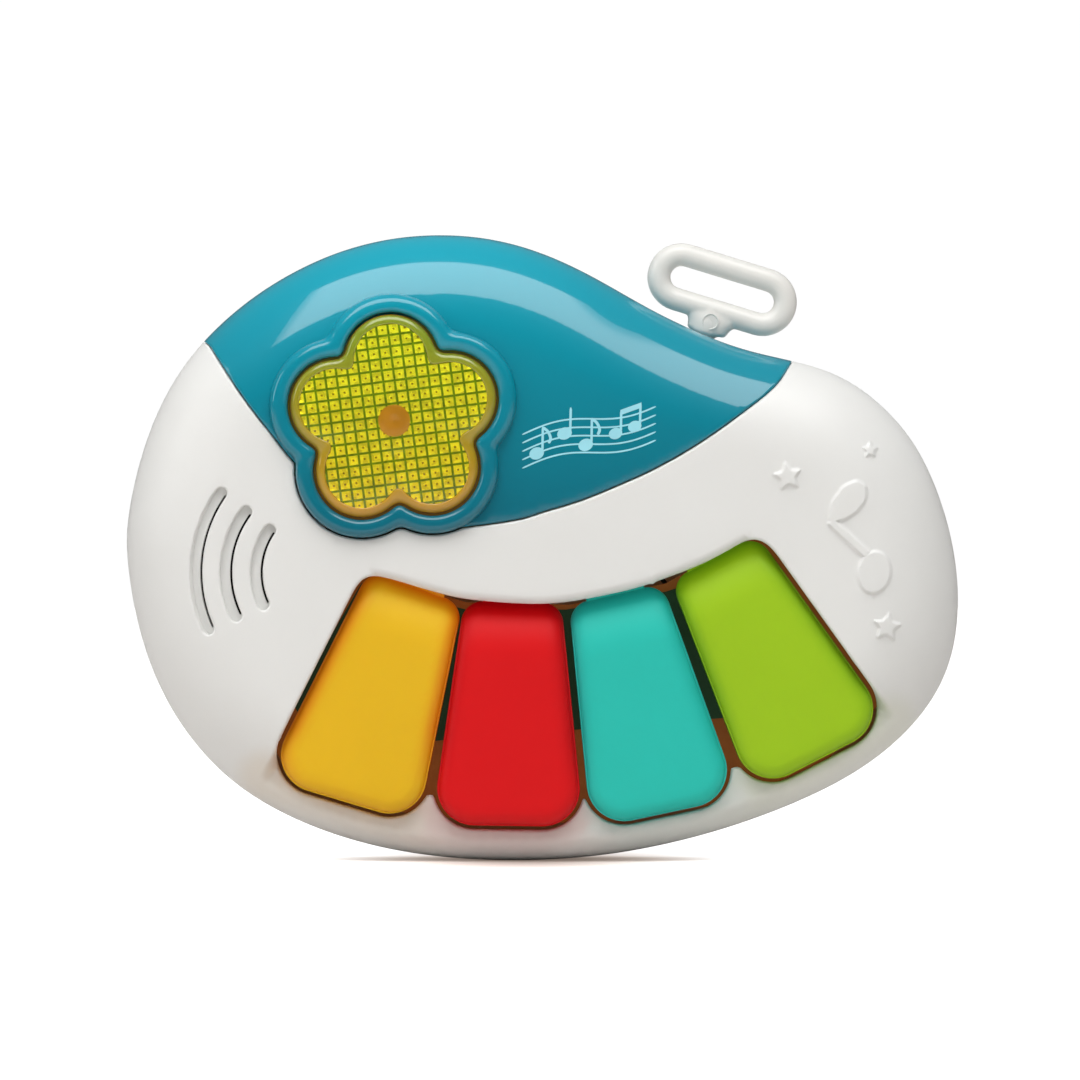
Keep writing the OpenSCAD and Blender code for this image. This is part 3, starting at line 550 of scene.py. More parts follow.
def sheet_points(loops, edges, grid, rings, extra):
    """Loose points of a sheet: a grid inside, and rows that follow edges and outline."""
    low = np.min([loop.min(0) for loop in loops], 0)
    high = np.max([loop.max(0) for loop in loops], 0)
    points = lattice(low, high, grid)
    points = points[in_region(points, loops)]
    for line, closed, radius in edges:
        points = points[distance(points, line, closed) > radius * 1.15 + 0.25 * grid]
    for loop in loops:
        points = points[distance(points, loop) > 0.45 * min(grid, 1.2)]
    if rings:
        points = points[distance(points, OUTLINE) > max(rings) + 0.4 * grid]
    groups = [points]
    for line, closed, radius in edges:
        normals = line_normals(line, closed)
        for angle in (18, 36, 54, 72, 90):
            inset = radius * (1 - math.cos(math.radians(angle)))
            for sign in (1, -1):
                row = line + sign * inset * normals
                row = row[in_region(row, loops)]
                row = row[distance(row, line, closed) > 0.93 * inset]
                if rings:
                    row = row[distance(row, OUTLINE) > 0.25]
                groups.append(row)
    for group in [OUTLINE + inset * INWARD for inset in rings] + [extra]:
        group = group[in_region(group, loops)]
        for line, closed, radius in edges:
            group = group[distance(group, line, closed) > radius * 1.1]
        groups.append(group)
    return np.vstack(groups)


def back_normals(points, depth, side, on_outline):
    """Outward face normals, turned level on the case outline."""
    nudge = 0.03
    slope_x, slope_z = ((depth(points + step) - depth(points - step)) / (2 * nudge)
        for step in ([nudge, 0], [0, nudge]))
    normals = np.stack([slope_x, -np.ones(len(points)), slope_z], 1) * -side
    normals[~np.isfinite(normals)] = 0
    normals /= np.linalg.norm(normals, axis=1)[:, None]
    for i in np.where(on_outline)[0]:
        inward = INWARD[np.argmin(((OUTLINE - points[i]) ** 2).sum(1))]
        normals[i] = [-inward[0], 0, -inward[1]]
    return normals


def sheet(name, loops, depth, edges=(), thick=WALL, grid=1.3, side=-1, rows=None, rings=(),
        extra=NO_POINTS, step=0.7, base=None, sharp=40):
    """A moulded wall over the region inside loops.

    Its face is at y = depth(points) and looks towards side (-1 is the front). Edges are (line,
    closed, radius) and are rolled. The other face is thick behind base, or behind depth.
    rows(point, on_outline, front, back) gives extra points of the wall between the faces."""
    loops = [resample(loop, step) for loop in loops]
    edges = [(resample(line, min(step, 0.6), closed), closed, r) for line, closed, r in edges]
    flat, triangles = flat_mesh(loops, sheet_points(loops, edges, grid, rings, extra))
    drop = np.zeros(len(flat))
    for line, closed, radius in edges:
        drop = np.maximum(drop, roll_drop(distance(flat, line, closed), radius))
    front = np.stack([flat[:, 0], depth(flat) - side * drop, flat[:, 1]], 1)
    base = base or depth
    on_outline = distance(flat, OUTLINE) < 0.06
    back = (np.stack([flat[:, 0], base(flat), flat[:, 1]], 1)
        - back_normals(flat, base, side, on_outline) * thick)

    count = len(flat)
    faces = [tuple(face if side < 0 else face[::-1]) for face in triangles]
    directed = dict.fromkeys(pair for f in faces
        for pair in ((f[0], f[1]), (f[1], f[2]), (f[2], f[0])))
    border = [(start, end) for start, end in directed if (end, start) not in directed]
    faces += [tuple(count + i for i in face[::-1]) for face in faces]

    # chains of points from the front face to the back face, at each border point
    points, total, chains = [front, back], 2 * count, {}
    for i in sorted({i for pair in border for i in pair}):
        chains[i] = [i]
        if rows:
            for point in rows(flat[i], bool(on_outline[i]), front[i], back[i]):
                points.append(np.array([point]))
                chains[i].append(total)
                total += 1
        chains[i].append(count + i)
    for start, end in border:
        left, right = chains[start], chains[end]
        left_end, right_end = len(left) - 1, len(right) - 1
        i = j = 0
        while i < left_end or j < right_end:
            if left_end == right_end:
                faces.append((right[j], left[i], left[i + 1], right[j + 1]))
                i += 1
                j += 1
            elif i < left_end and (left_end > right_end or j >= right_end):
                faces.append((right[j], left[i], left[i + 1]))
                i += 1
            else:
                faces.append((right[j], left[i], right[j + 1]))
                j += 1
    return make(name, np.vstack(points), faces, sharp)


def level(y):
    """Depth function of a flat face."""
    return lambda points: np.full(len(points), y)


def at_depth(point, y):
    return [point[0], y, point[1]]


def read_mm(ob):
    """Vertices of an object in mm."""
    flat = np.empty(len(ob.data.vertices) * 3)
    ob.data.vertices.foreach_get("co", flat)
    return flat.reshape(-1, 3) * 1000


def join(name, obs):
    points, faces, total = [], [], 0
    for ob in obs:
        points.append(read_mm(ob))
        faces += [tuple(i + total for i in face.vertices) for face in ob.data.polygons]
        total += len(ob.data.vertices)
        bpy.data.objects.remove(ob)
    return make(name, np.vstack(points), faces, 40)


def ring(centre, radius, y, count):
    """Circle of points about an axis along y."""
    angles = [2 * math.pi * i / count for i in range(count)]
    return [[centre[0] + radius * math.cos(angle), y, centre[1] + radius * math.sin(angle)]
        for angle in angles]


def ring_faces(rings, count, wrap=False):
    """Quads between successive rings of count points each."""
    faces = []
    for i in range(rings if wrap else rings - 1):
        for k in range(count):
            near, far = i * count, (i + 1) % rings * count
            after = (k + 1) % count
            faces.append((near + k, near + after, far + after, far + k))
    return faces


def add_rings(bm, rings, wrap=False):
    """Adds quads between rings; the last joins the first with wrap, and else is capped."""
    rings = [[bm.verts.new(point) for point in points] for points in rings]
    for near, far in zip(rings, rings[1:] + rings[:1] if wrap else rings[1:]):
        for i in range(len(near)):
            after = (i + 1) % len(near)
            bm.faces.new([near[i], near[after], far[after], far[i]])
    if not wrap:
        bm.faces.new(rings[-1])


def finish_bmesh(bm, mesh_name, name):
    """Object from a bmesh in mm."""
    bmesh.ops.recalc_face_normals(bm, faces=bm.faces)
    bmesh.ops.scale(bm, vec=(0.001,) * 3, verts=bm.verts)
    mesh = bpy.data.meshes.new(mesh_name)
    bm.to_mesh(mesh)
    bm.free()
    return link(name, mesh)


def recalculate_normals(mesh):
    bm = bmesh.new()
    bm.from_mesh(mesh)
    bmesh.ops.recalc_face_normals(bm, faces=bm.faces)
    bm.to_mesh(mesh)
    bm.free()


def add_bevel(ob, width):
    bevel = ob.modifiers.new("bevel", "BEVEL")
    bevel.width = width
    bevel.segments = 2
    bevel.limit_method = "ANGLE"
    return bevel


painted = []  # (object, key in materials)


def mount(ob, part, slot, look=None):
    """Ties an object to its moving part; it is painted with its slot's look unless a look is given.
    """
    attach(ob, part)
    painted.append((ob, look or slot))


# ------------------------------------------------------------------ case surfaces
def bulge(points, rim, crown, reach):
    """Depth of a domed half, rising from the rim to the crown over reach."""
    part = np.clip(distance(points, OUTLINE) / reach, 0, 1)
    return rim + (crown - rim) * (1 - (1 - part) ** 2.2) ** (1 / 1.6)


def front_dome(points):
    return bulge(points, FRONT_RIM, FRONT_CROWN, FRONT_REACH)


def back_dome(points):
    return bulge(points, BACK_RIM, BACK_CROWN, BACK_REACH)


def lip_mask(points):
    """One on the lip below the keys, fading out at its two ends and upwards."""
    mask = smooth((52 - points[:, 1]) / 6)
    for top, bottom, sign in (((-56.3, 20.4), (-59.2, 15.7), 1), ((69.2, 34.7), (74.2, 29.0), -1)):
        normal = sign * turned(unit(np.array(bottom) - np.array(top)))
        mask = smooth(((points - top) @ normal + 1.3) / 2.6) * mask
    return mask


def soft_max(first, second, width=1.1):
    lead = np.clip((second - first) / width, -1, 1)
    blend = (first + second) / 2 + width * (lead * lead + 1) / 4
    return np.where(lead >= 1, second, np.where(lead <= -1, first, blend))


# Raised figures to the right of the keys
EMBOSSED = [
    star([51.0, 80.4], 3.1, 10),
    star([68.3, 85.9], 1.75, 0),
    star([71.7, 49.1], 3.1, -8),
    egg([69.05, 60.5], 3.45, 4.45, -10),
    soften([[67.0, 63.4], [68.3, 64.7], [60.5, 71.8], [59.2, 70.6]], 0.25, 0.12),
    soften([[59.4, 70.9], [60.0, 75], [62.5, 78.5], [65.5, 79.8], [67.5, 78.5], [67.5, 75.7],
        [65.5, 73.0], [62.5, 71.2]], 0.7, 0.15)]
EMBOSS_HEIGHT = 0.62


def emboss(points):
    """One on the raised figures, with soft edges."""
    raised = np.zeros(len(points))
    for loop in EMBOSSED:
        inset = distance(points, loop) * np.where(inside(points, loop), 1, -1)
        raised = np.maximum(raised, smooth((inset + 0.32) / 0.64))
    return raised


def front_base(points):
    dome = front_dome(points)
    mask = lip_mask(points)
    return dome * (1 - mask) + soft_max(dome, np.full(len(dome), LIP)) * mask


def front_depth(points):
    return front_base(points) - EMBOSS_HEIGHT * emboss(points)


def panel_depth(points):
    """Panel face with the raised bead round the flower."""
    outside = petal_distance(points, RING_HOLE, 1.5)
    across = np.clip((outside - 1.62) / 2.12, -1, 1)
    bead = 2.1 * np.maximum(1 - np.abs(across) ** 2.8, 0) ** (1 / 2.2) * (1 + 0.09 * across)
    return front_dome(points) - np.where((outside < 4.1) & (outside > -2), bead, 0)


def rim_rows(point, back, depths):
    """Wall rows at the given depths, then the chamfered end of the wall at the seam."""
    inner = back[[0, 2]]
    return ([at_depth(point, y) for y in depths]
        + [at_depth(point * 0.9 + inner * 0.1, SEAM), at_depth(inner, SEAM)])


def front_rows(point, on_outline, front, back):
    if not on_outline:
        return []
    return rim_rows(point, back, (-1, 1, SEAM - 0.25)) + [at_depth(back[[0, 2]], 0)]


def back_rows(point, on_outline, front, back):
    return rim_rows(point, back, (6, 4.5, SEAM + 0.25)) if on_outline else []


# Insets of the mesh rows that follow the outline
RINGS = (0.03, 0.1, 0.22, 0.42, 0.7, 1.1, 1.6, 2.3, 3.1, 4.0, 5.0, 6.1, 7.3, 8.6, 10.0, 11.5, 13.1)


# ------------------------------------------------------------------ front case half
# Start, middle and end (x, z) of each slot at the left
SLOTS = [
    [[-66.8, 76.9], [-72, 61.3], [-69.5, 48.7]],
    [[-61.6, 73], [-65.7, 62], [-63.7, 51.4]],
    [[-56.7, 69.2], [-59.4, 61.3], [-58, 53.8]]]


def front_detail():
    """Extra mesh points at the figures, the ends of the lip and the crease below it."""
    groups = []
    for loop in EMBOSSED:
        patch = lattice(loop.min(0) - 0.7, loop.max(0) + 0.7, 0.33)
        groups.append(patch[distance(patch, loop) < 0.7])
    for start, end in (([-53, 25.7], [-62, 11]), ([66, 38.4], [78, 24.6])):
        line = np.linspace(start, end, 40)
        groups += [line + [shift, shift * 0.5] for shift in np.arange(-2.4, 2.5, 0.4)]
    for inset in np.arange(2.6, 5.0, 0.35):
        row = OUTLINE[::3] + INWARD[::3] * inset
        groups.append(row[row[:, 1] < 32])
    return np.vstack(groups)


def build_front_case():
    grooves = [arc_slot(slot, 2.5, 0) for slot in SLOTS]
    slits = [arc_slot(slot, 0.42, 0.98) for slot in SLOTS]
    edges = [(off_outline(white_loop), False, 0.55), (well, True, 0.7), (band_edge, False, 1.8)]
    case = sheet("front_case", [white_loop, well] + grooves, front_depth,
        edges + [(groove, True, 0.5) for groove in grooves],
        grid=1.5, rows=front_rows, rings=RINGS, extra=front_detail(), base=front_base)
    floors = [sheet("slot_floor", [soften(groove, 0.2), slit],
        lambda points: front_base(points) + 1.7, [(slit, True, 0.12)],
        thick=0.6, grid=0.8, step=0.5) for groove, slit in zip(grooves, slits)]
    # rebate that the panel's edge rests on
    strip = np.vstack([panel_line - 1.6 * panel_side, (panel_line + 3.4 * panel_side)[::-1]])
    strip = combine(strip, OUTLINE[::2] + 2.9 * INWARD[::2], "shared")
    strip = combine(strip, petals(14.45, 1.3), "minus")
    rebate = sheet("rebate", [strip], lambda points: front_dome(points) + 2.4,
        thick=1.2, grid=2.0, step=0.9)
    case = join("front_case", [case, rebate] + floors)
    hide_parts("front_shell")
    mount(case, "case", "white_shell", "front")
    return case


# ------------------------------------------------------------------ top panel with its raised ring
# Petal radii of the mesh rows over the bead
BEAD_ROWS = (10.6, 11, 11.4, 11.8, 12.2, 12.6, 12.9, 13.2, 13.5, 13.7, 13.87, 14.0, 14.1, 14.18,
    14.24, 14.28, 14.31, 14.5, 14.9, 15.4)


def panel_rows(point, on_outline, front, back):
    if on_outline:
        return front_rows(point, on_outline, front, back)
    at_hole = petal_distance(point[None], RING_HOLE, 1.5)[0] < 1
    return [at_depth(point, -14.0)] if at_hole else []


def build_panel():
    panel = sheet("panel_gloss", [panel_loop, panel_hole], panel_depth,
        [(off_outline(panel_loop), False, 0.45), (panel_hole, True, 0.8)],
        thick=2.3, grid=1.4, rows=panel_rows, rings=RINGS,
        extra=np.vstack([resample(petals(radius), 0.45) for radius in BEAD_ROWS]),
        base=front_dome)
    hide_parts("top_panel")
    mount(panel, "case", "teal_gloss")


# ------------------------------------------------------------------ keys
def build_key_body(k, name):
    """Face of the key with its deep wall and turned-in rim."""
    top, up = key_axes(k)
    across = np.array([up[1], -up[0]])
    line = key_line(k, 0)
    normals = line_normals(line, True)
    centre = line.mean(0)
    tilt, ease = 0.42, 7  # slope of the upper part, and the length over which it starts

    def depth(points):
        along = (points - top) @ up
        sideways = (points - top) @ across
        rise = np.clip(along + 11.5, 0, None)
        dip = np.where(rise < ease, rise * rise / (2 * ease) * tilt,
            ease / 2 * tilt + (rise - ease) * tilt)
        return (KEY_FACE + 0.55 * (sideways / 16) ** 2 + 0.125 * ((along + 24) / 24) ** 2 + dip)

    def rows(point, on_outline, front, back):
        inward = normals[np.argmin(((line - point) ** 2).sum(1))]
        if (centre - point) @ inward <= 0:
            inward = -inward
        lip = point + 0.9 * inward
        foot = lip + 0.7 * (lip - point)
        return [at_depth(point, front[1] + 1.2), at_depth(point, -9.5), at_depth(point, -5.3),
            at_depth(lip, -5.0), at_depth(foot, -5.0), at_depth(foot, -10)]

    body = sheet(name + "_body", [line], depth, [(line, True, 2.9)], thick=1.6, grid=1.1,
        step=0.6, rows=rows)
    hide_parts(name)
    mount(body, name, name)
    return body


def build_key_arm(k, name):
    """Hinge arm, barrel and plunger behind the key."""
    top, up = key_axes(k)
    across = np.array([up[1], -up[0]])

    def placed(x, y, z):
        """x across the key, z up it from the middle of its top edge."""
        return at_depth(top + across * x + up * z, y)

    half_width = 6.2
    bm = bmesh.new()
    corners = [bm.verts.new(placed(x, y, z)) for x in (-half_width, half_width)
        for y in (-10.2, -6.4) for z in (-1.2, 6.4)]
    for face in ((0, 1, 3, 2), (4, 6, 7, 5), (0, 4, 5, 1), (2, 3, 7, 6), (0, 2, 6, 4),
            (1, 5, 7, 3)):
        bm.faces.new([corners[i] for i in face])
    bore, barrel = 1.05, 2.5
    angles = [2 * math.pi * i / 40 for i in range(40)]
    add_rings(bm, [[placed(x, -8 + radius * math.cos(a), 8 + radius * math.sin(a))
        for a in angles] for x, radius in ((-half_width, bore), (-half_width, barrel),
        (half_width, barrel), (half_width, bore))], wrap=True)
    plunger = ((2.2, -14.2), (2.2, -5.3), (1.9, -4.75), (1.0, -4.7))  # radius, y
    centre = top - PRESS_DROP * up
    add_rings(bm, [ring(centre, radius, y, 28) for radius, y in plunger])
    arm = finish_bmesh(bm, "arm", name + "_arm")
    add_bevel(arm, 0.00025)
    mount(arm, name, name)
    return arm


def build_keys():
    keys = []
    for k, colour in enumerate(KEY_NAMES):
        name = "key_" + colour
        keys.append((build_key_body(k, name), build_key_arm(k, name)))
    return keys


# ------------------------------------------------------------------ flower button
PRISM_TURN = np.array([[math.cos(PRISM_TILT), -math.sin(PRISM_TILT)],
    [math.sin(PRISM_TILT), math.cos(PRISM_TILT)]])
# Offsets of the mesh lines across each prism cell
CELL_LINES = (-1.08, -0.97, -0.86, -0.43, -0.3, -0.21, 0.21, 0.3, 0.43, 0.86, 0.97, 1.08)


def from_flower_squared(points):
    return ((points - FLOWER) ** 2).sum(1)


def lens_depth(points):
    outside = petal_distance(points, *LENS_SHAPE)
    return (FLOWER_TOP + 0.55 * np.exp(np.minimum(outside, 0) / 1.5)
        + 0.25 * from_flower_squared(points) / 22**2)


def rim_wall(point, on_outline, front, back):
    if petal_distance(point[None], *LENS_SHAPE)[0] <= -0.7:
        return []
    return [at_depth(point, front[1] + 1.0), at_depth(point, -13.4),
        at_depth(point * 0.985 + FLOWER * 0.015, -13.4)]


def prism_depth(points):
    """Square pads with a small pit each."""
    cell = (points - FLOWER) @ PRISM_TURN
    cell = (cell + PRISM_PITCH / 2) % PRISM_PITCH - PRISM_PITCH / 2
    reach = np.maximum(np.abs(cell[:, 0]), np.abs(cell[:, 1]))
    pad = smooth((1.08 - reach) / 0.22)
    pit = smooth((0.42 - reach) / 0.2)
    return FLOWER_TOP + 1.15 - 0.55 * pad + 0.4 * pit + 0.25 * cell[:, 1] / PRISM_PITCH * pad


def hub_depth(points):
    squared = from_flower_squared(points)
    return (FLOWER_TOP + 0.75 - 0.45 * np.sqrt(np.maximum(1 - squared / 3.45**2, 0))
        + 0.3 * np.exp(-squared / 0.9))


def build_prism():
    loop = petals(7.87, 2.9)
    lines = np.concatenate([[cell * PRISM_PITCH + shift for shift in CELL_LINES]
        for cell in range(-11, 12)])
    x, z = np.meshgrid(lines, lines)
    points = np.stack([x.ravel(), z.ravel()], 1) @ PRISM_TURN.T + FLOWER
    points = points[inside(points, loop)]
    points = points[distance(points, loop) > 0.15]
    points = points[length(points - FLOWER) > 3.45]
    return sheet("flower_prism", [loop, circle(FLOWER, 3.3, 60)], prism_depth, thick=0.8,
        grid=40.0, step=0.5, extra=points, sharp=25)


def build_flower():
    lens, window = petals(*LENS_SHAPE), petals(7.62, 2.9)
    rim = sheet("flower_rim", [lens, window], lens_depth,
        [(lens, True, 1.25), (window, True, 0.35)], thick=1.3, grid=0.8, step=0.5, rows=rim_wall)
    prism = build_prism()
    hub = sheet("flower_hub", [circle(FLOWER, 3.35, 60)], hub_depth, thick=0.9, grid=0.4,
        step=0.35)
    cover = sheet("flower_cover", [petals(7.77, 2.9)], lambda points: lens_depth(points) + 0.23,
        thick=0.35, grid=1.2, step=0.6)
    for ob, look in ((rim, "lens_lime"), (prism, "prism"), (hub, "hub"), (cover, "cover")):
        mount(ob, "flower", "lens_lime", look)

    bm = bmesh.new()
    stem_profile = ((2.4, -17.6), (2.4, -10.1), (2.0, -9.7), (0.8, -9.7))  # radius, y
    add_rings(bm, [ring(FLOWER, radius, y, 40) for radius, y in stem_profile])
    mount(finish_bmesh(bm, "flower_stem", "flower_stem"), "flower", "lens_lime")
    flange = sheet("flower_flange", [petals(11.1), petals(8.0)], level(-13.5), thick=1.1,
        grid=2.0, step=0.8)
    mount(flange, "flower", "lens_lime")
    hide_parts("flower_button")


# ------------------------------------------------------------------ rear case half
SCREW_WELL, BOSS_RADIUS, SCREW_BORE = 2.9, 3.2, 1.5


def boss_mouth(centre, radius, sunk):
    """Ring that follows the slope of the back, a little below its surface."""
    points = np.array(ring(centre, radius, 0, 40))
    points[:, 1] = back_dome(points[:, [0, 2]]) - sunk
    return points


def build_boss(centre):
    """Screw well and the post round its bore."""
    steps = ((SCREW_WELL, 10.5), (SCREW_BORE, 10.5), (SCREW_BORE, 3.1), (BOSS_RADIUS, 3.1))
    bm = bmesh.new()
    add_rings(bm, [boss_mouth(centre, SCREW_WELL, 0.5)]
        + [ring(centre, radius, y, 40) for radius, y in steps]
        + [boss_mouth(centre, BOSS_RADIUS, 1.3)], wrap=True)
    return finish_bmesh(bm, "boss", "boss")


def build_rear_case():
    tab = combine(circle(BATTERY_TAB, 4.0, 64), rect(BATTERY + [0.001, 18.5], 7.3, 4.1, 0.05),
        "plus")
    bay = combine(rect(BATTERY, 62.6, 35.0, 0.8), tab, "plus")
    pocket = rect(SWITCH, 14, 6.8, 1.2)
    # a slight shift keeps the holes off the mesh's other points
    holes = [circle(np.array(c) + [0.003, 0.002], SCREW_WELL, 48) for c in CASE_SCREWS]
    case = sheet("rear_case", [SILHOUETTE, bay, pocket] + holes, back_dome,
        [(bay, True, 0.35), (pocket, True, 0.4)] + [(hole, True, 0.4) for hole in holes],
        grid=1.8, side=1, rows=back_rows, rings=RINGS)
    bosses = [build_boss(centre) for centre in CASE_SCREWS]
    # battery bay: seat of the door, floor and walls
    bay_inner = rect(BATTERY, 59.2, 31.8, 1.0)
    bay_outer = rect(BATTERY, 62.4, 34.8, 0.8)
    seat_outer = combine(rect(BATTERY, 62.8, 35.2, 0.8), circle(BATTERY_TAB, 4.1, 64), "plus")
    seat = sheet("seat", [seat_outer, bay_inner, circle(BATTERY_TAB, 1.1, 40)], level(18.3),
        [(bay_inner, True, 0.3)], thick=1.2, grid=3, side=1)
    tray = sheet("tray", [bay_outer], level(3.95), thick=0.9, grid=4, side=1)
    walls = sheet("walls", [bay_outer, bay_inner], level(17.2), thick=13.3, grid=6, side=1)
    slot = rect(SWITCH, 10.8, 3.4, 0.5)
    pocket_floor = sheet("pocket_floor", [rect(SWITCH, 14.2, 7.0, 1.2), slot], level(18.8),
        [(slot, True, 0.15)], thick=1.2, grid=2, side=1)
    case = join("rear_case", [case, seat, tray, walls, pocket_floor] + bosses)
    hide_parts("rear_shell")
    mount(case, "case", "white_shell")


# ------------------------------------------------------------------ hanging loop
# The loop's own frame has its origin at the neck, z up the leaning loop and y to the back.
LEAN = math.radians(17)
NECK = np.array([34.3, SEAM, 111.7])
NECK_X = np.array([math.cos(LEAN), 0, -math.sin(LEAN)])
NECK_Y = np.array([0, 1.0, 0])
NECK_Z = np.array([math.sin(LEAN), 0, math.cos(LEAN)])
LOOP_WIDTH, LOOP_HEIGHT = 32.3, 14.4
LOOP_X, LOOP_Z = 1, 8.7  # centre of the loop
BAR_RADIUS = 2.45
DISC_X, DISC_Z = 0.6, 1.5  # centre of the disc on the neck
# Radius and z of the lathed parts on the neck
SHANK = ((2.4, -7.5), (2.4, -1.3), (2.9, -1.28), (3.1, -0.9), (3.1, 1.0), (2.5, 4.2))
COLLAR = ((4.0, -9.5), (4.2, -9.3), (4.2, -6.7), (4.0, -6.5))
# Radius and distance along the axis, which then points to the front
DISC = ((2.4, -2.75), (3.0, -2.5), (3.15, -2.0), (3.15, 2.0), (3.0, 2.5), (2.4, 2.75))
MARK = ((1.8, 1.9), (1.8, 2.93), (1.72, 3.02), (1.55, 3.04), (1.45, 2.96), (1.38, 2.86),
    (0.3, 2.88))
# Half width, half depth and z of the swelling between shank and loop
SWELLING = ((3.3, 2.1, -1.0), (3.85, 2.45, -0.95), (4.2, 2.7, -0.6), (4.35, 2.8, 0.0),
    (4.6, 2.85, 0.8), (5.1, 2.8, 1.6), (5.7, 2.65, 2.4), (6.3, 2.4, 3.1), (6.6, 2.1, 3.8),
    (6.0, 1.6, 4.6))


def from_neck(points):
    return NECK + points[:, :1] * NECK_X + points[:, 1:2] * NECK_Y + points[:, 2:] * NECK_Z


def capped(points, count):
    """Points and faces of a stack of rings, closed at both ends."""
    rings = len(points) // count
    ends = [tuple(range(count))[::-1], tuple((rings - 1) * count + k for k in range(count))]
    return np.array(points), ring_faces(rings, count) + ends


def lathe(profile):
    """Solid turned about z from (radius, z) stations."""
    points = [point for radius, z in profile for point in ring((0, 0), radius, z, 48)]
    return capped(np.array(points)[:, [0, 2, 1]], 48)


def bar():
    """Closed round bar along a stadium-shaped path."""
    half = (LOOP_WIDTH - LOOP_HEIGHT) / 2
    bend = LOOP_HEIGHT / 2 - BAR_RADIUS
    path = []
    for side in (1, -1):
        path += [[LOOP_X + side * half - side * 2 * half * part, 0, LOOP_Z + side * bend]
            for part in np.linspace(0, 1, 14)[:-1]]
        path += [[LOOP_X - side * half - side * bend * math.sin(angle), 0,
            LOOP_Z + side * bend * math.cos(angle)] for angle in np.linspace(0, math.pi, 22)[:-1]]
    path = np.array(path, float)
    along = np.roll(path, -1, 0) - np.roll(path, 1, 0)
    along /= np.linalg.norm(along, axis=1)[:, None]
    count, points = 28, []
    for centre, direction in zip(path, along):
        across = np.cross(direction, [0, 1, 0])
        across /= max(np.linalg.norm(across), 1e-9)
        for k in range(count):
            angle = 2 * math.pi * k / count
            points.append(centre
                + BAR_RADIUS * (across * math.cos(angle) + NECK_Y * math.sin(angle)))
    return np.array(points), ring_faces(len(path), count, wrap=True)


def swelling():
    count, points = 56, []
    for radius_x, radius_y, z in SWELLING:
        for k in range(count):
            angle = 2 * math.pi * k / count
            x, y = (math.copysign(abs(v) ** 0.85, v) for v in (math.cos(angle), math.sin(angle)))
            points.append([0.45 + 0.12 * z + radius_x * x, radius_y * y, z])
    return capped(points, count)


def build_loop():
    disc, disc_faces = lathe(DISC)
    disc = np.stack([disc[:, 0] * 0.8 + DISC_X, -disc[:, 2] * 0.95,
        disc[:, 1] * 0.72 + DISC_Z], 1)
    parts = [bar(), lathe(SHANK), swelling(), lathe(COLLAR), (disc, disc_faces)]
    faces, total = [], 0
    for points, part_faces in parts:
        faces += [tuple(i + total for i in face) for face in part_faces]
        total += len(points)
    ob = make("loop_bar", from_neck(np.vstack([points for points, _ in parts])), faces, 60)
    recalculate_normals(ob.data)
    # melt the parts into one skin
    remesh = ob.modifiers.new("remesh", "REMESH")
    remesh.mode = "VOXEL"
    remesh.voxel_size = 0.00028
    relax = ob.modifiers.new("smooth", "SMOOTH")
    relax.factor = 0.5
    relax.iterations = 10
    evaluated = ob.evaluated_get(bpy.context.evaluated_depsgraph_get())
    mesh = bpy.data.meshes.new_from_object(evaluated)
    ob.modifiers.clear()
    ob.data = mesh
    mesh.polygons.foreach_set("use_smooth", [True] * len(mesh.polygons))
    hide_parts("hang_loop")
    mount(ob, "loop", "loop_white")

    points, faces = lathe(MARK)
    points = np.stack([points[:, 0] + DISC_X, -points[:, 2], points[:, 1] + DISC_Z], 1)
    mount(make("loop_mark", from_neck(points), faces, 40), "loop", "loop_white")


# ------------------------------------------------------------------ print on the panel
# Notes on the wavy stave: x, line counted from the lowest, radius
NOTES = ((-1.2, 1, 1.25), (4.6, 2.4, 1.25), (9.0, 0.9, 1.25), (15.2, 2.2, 1.15),
    (19.2, 2.6, 1.15))


def stroke(points, width):
    """Outline of a curved stroke with narrowed ends."""
    line = fine(np.array(points, float), 6)
    half = np.full(len(line), width / 2)
    half[0] = half[-1] = width / 5
    offset = line_normals(line) * half[:, None]
    return ccw(np.vstack([line + offset, (line - offset)[::-1]]))


def stave_z(x, row):
    return 82.2 + row * 1.75 + 0.22 * (x + 4) + 1.1 * math.sin((x + 4) / 4.6)


def note_stem(xs, z, middle, top):
    return stroke(list(zip(xs, (z + 0.4, z + middle, z + top))), 0.5)


def build_print():
    shapes = [stroke([[x, stave_z(x, row)] for x in np.linspace(-4.2, 23.6, 12)], 0.34)
        for row in range(5)]
    shapes += [egg([x, stave_z(x, row)], radius * 1.25, radius, 22) for x, row, radius in NOTES]
    heights = [stave_z(x, row) for x, row, _ in NOTES]
    for i in (0, 2):  # single notes with a flag
        x, z = NOTES[i][0], heights[i]
        shapes.append(note_stem((x + 1.2, x + 1.25, x + 1.3), z, 3, 5.6))
        shapes.append(stroke([[x + 1.3, z + 5.4], [x + 2.3, z + 4.6], [x + 2.9, z + 3.2],
            [x + 2.5, z + 2.1]], 0.6))
    shapes.append(note_stem((5.8, 5.85, 5.9), heights[1], 3, 5.4))
    # the last two notes share a beam
    left, right = heights[3:]
    shapes.append(note_stem((16.3, 16.35, 16.4), left, 2.4, 4.9))
    shapes.append(note_stem((20.3, 20.35, 20.4), right, 2.4, 4.9))
    shapes.append(ccw(np.array([[16.2, left + 4.9], [20.6, right + 5.0], [20.6, right + 3.9],
        [16.2, left + 3.8]])))
    # each shape lies a little higher than the last, so that none coincide
    prints = [sheet("print", [loop], lambda points, i=i: front_dome(points) - 0.03 - 0.002 * i,
        thick=0.08, grid=0.9, step=0.35) for i, loop in enumerate(shapes)]
    mount(join("panel_print", prints), "case", "white_shell", "print")


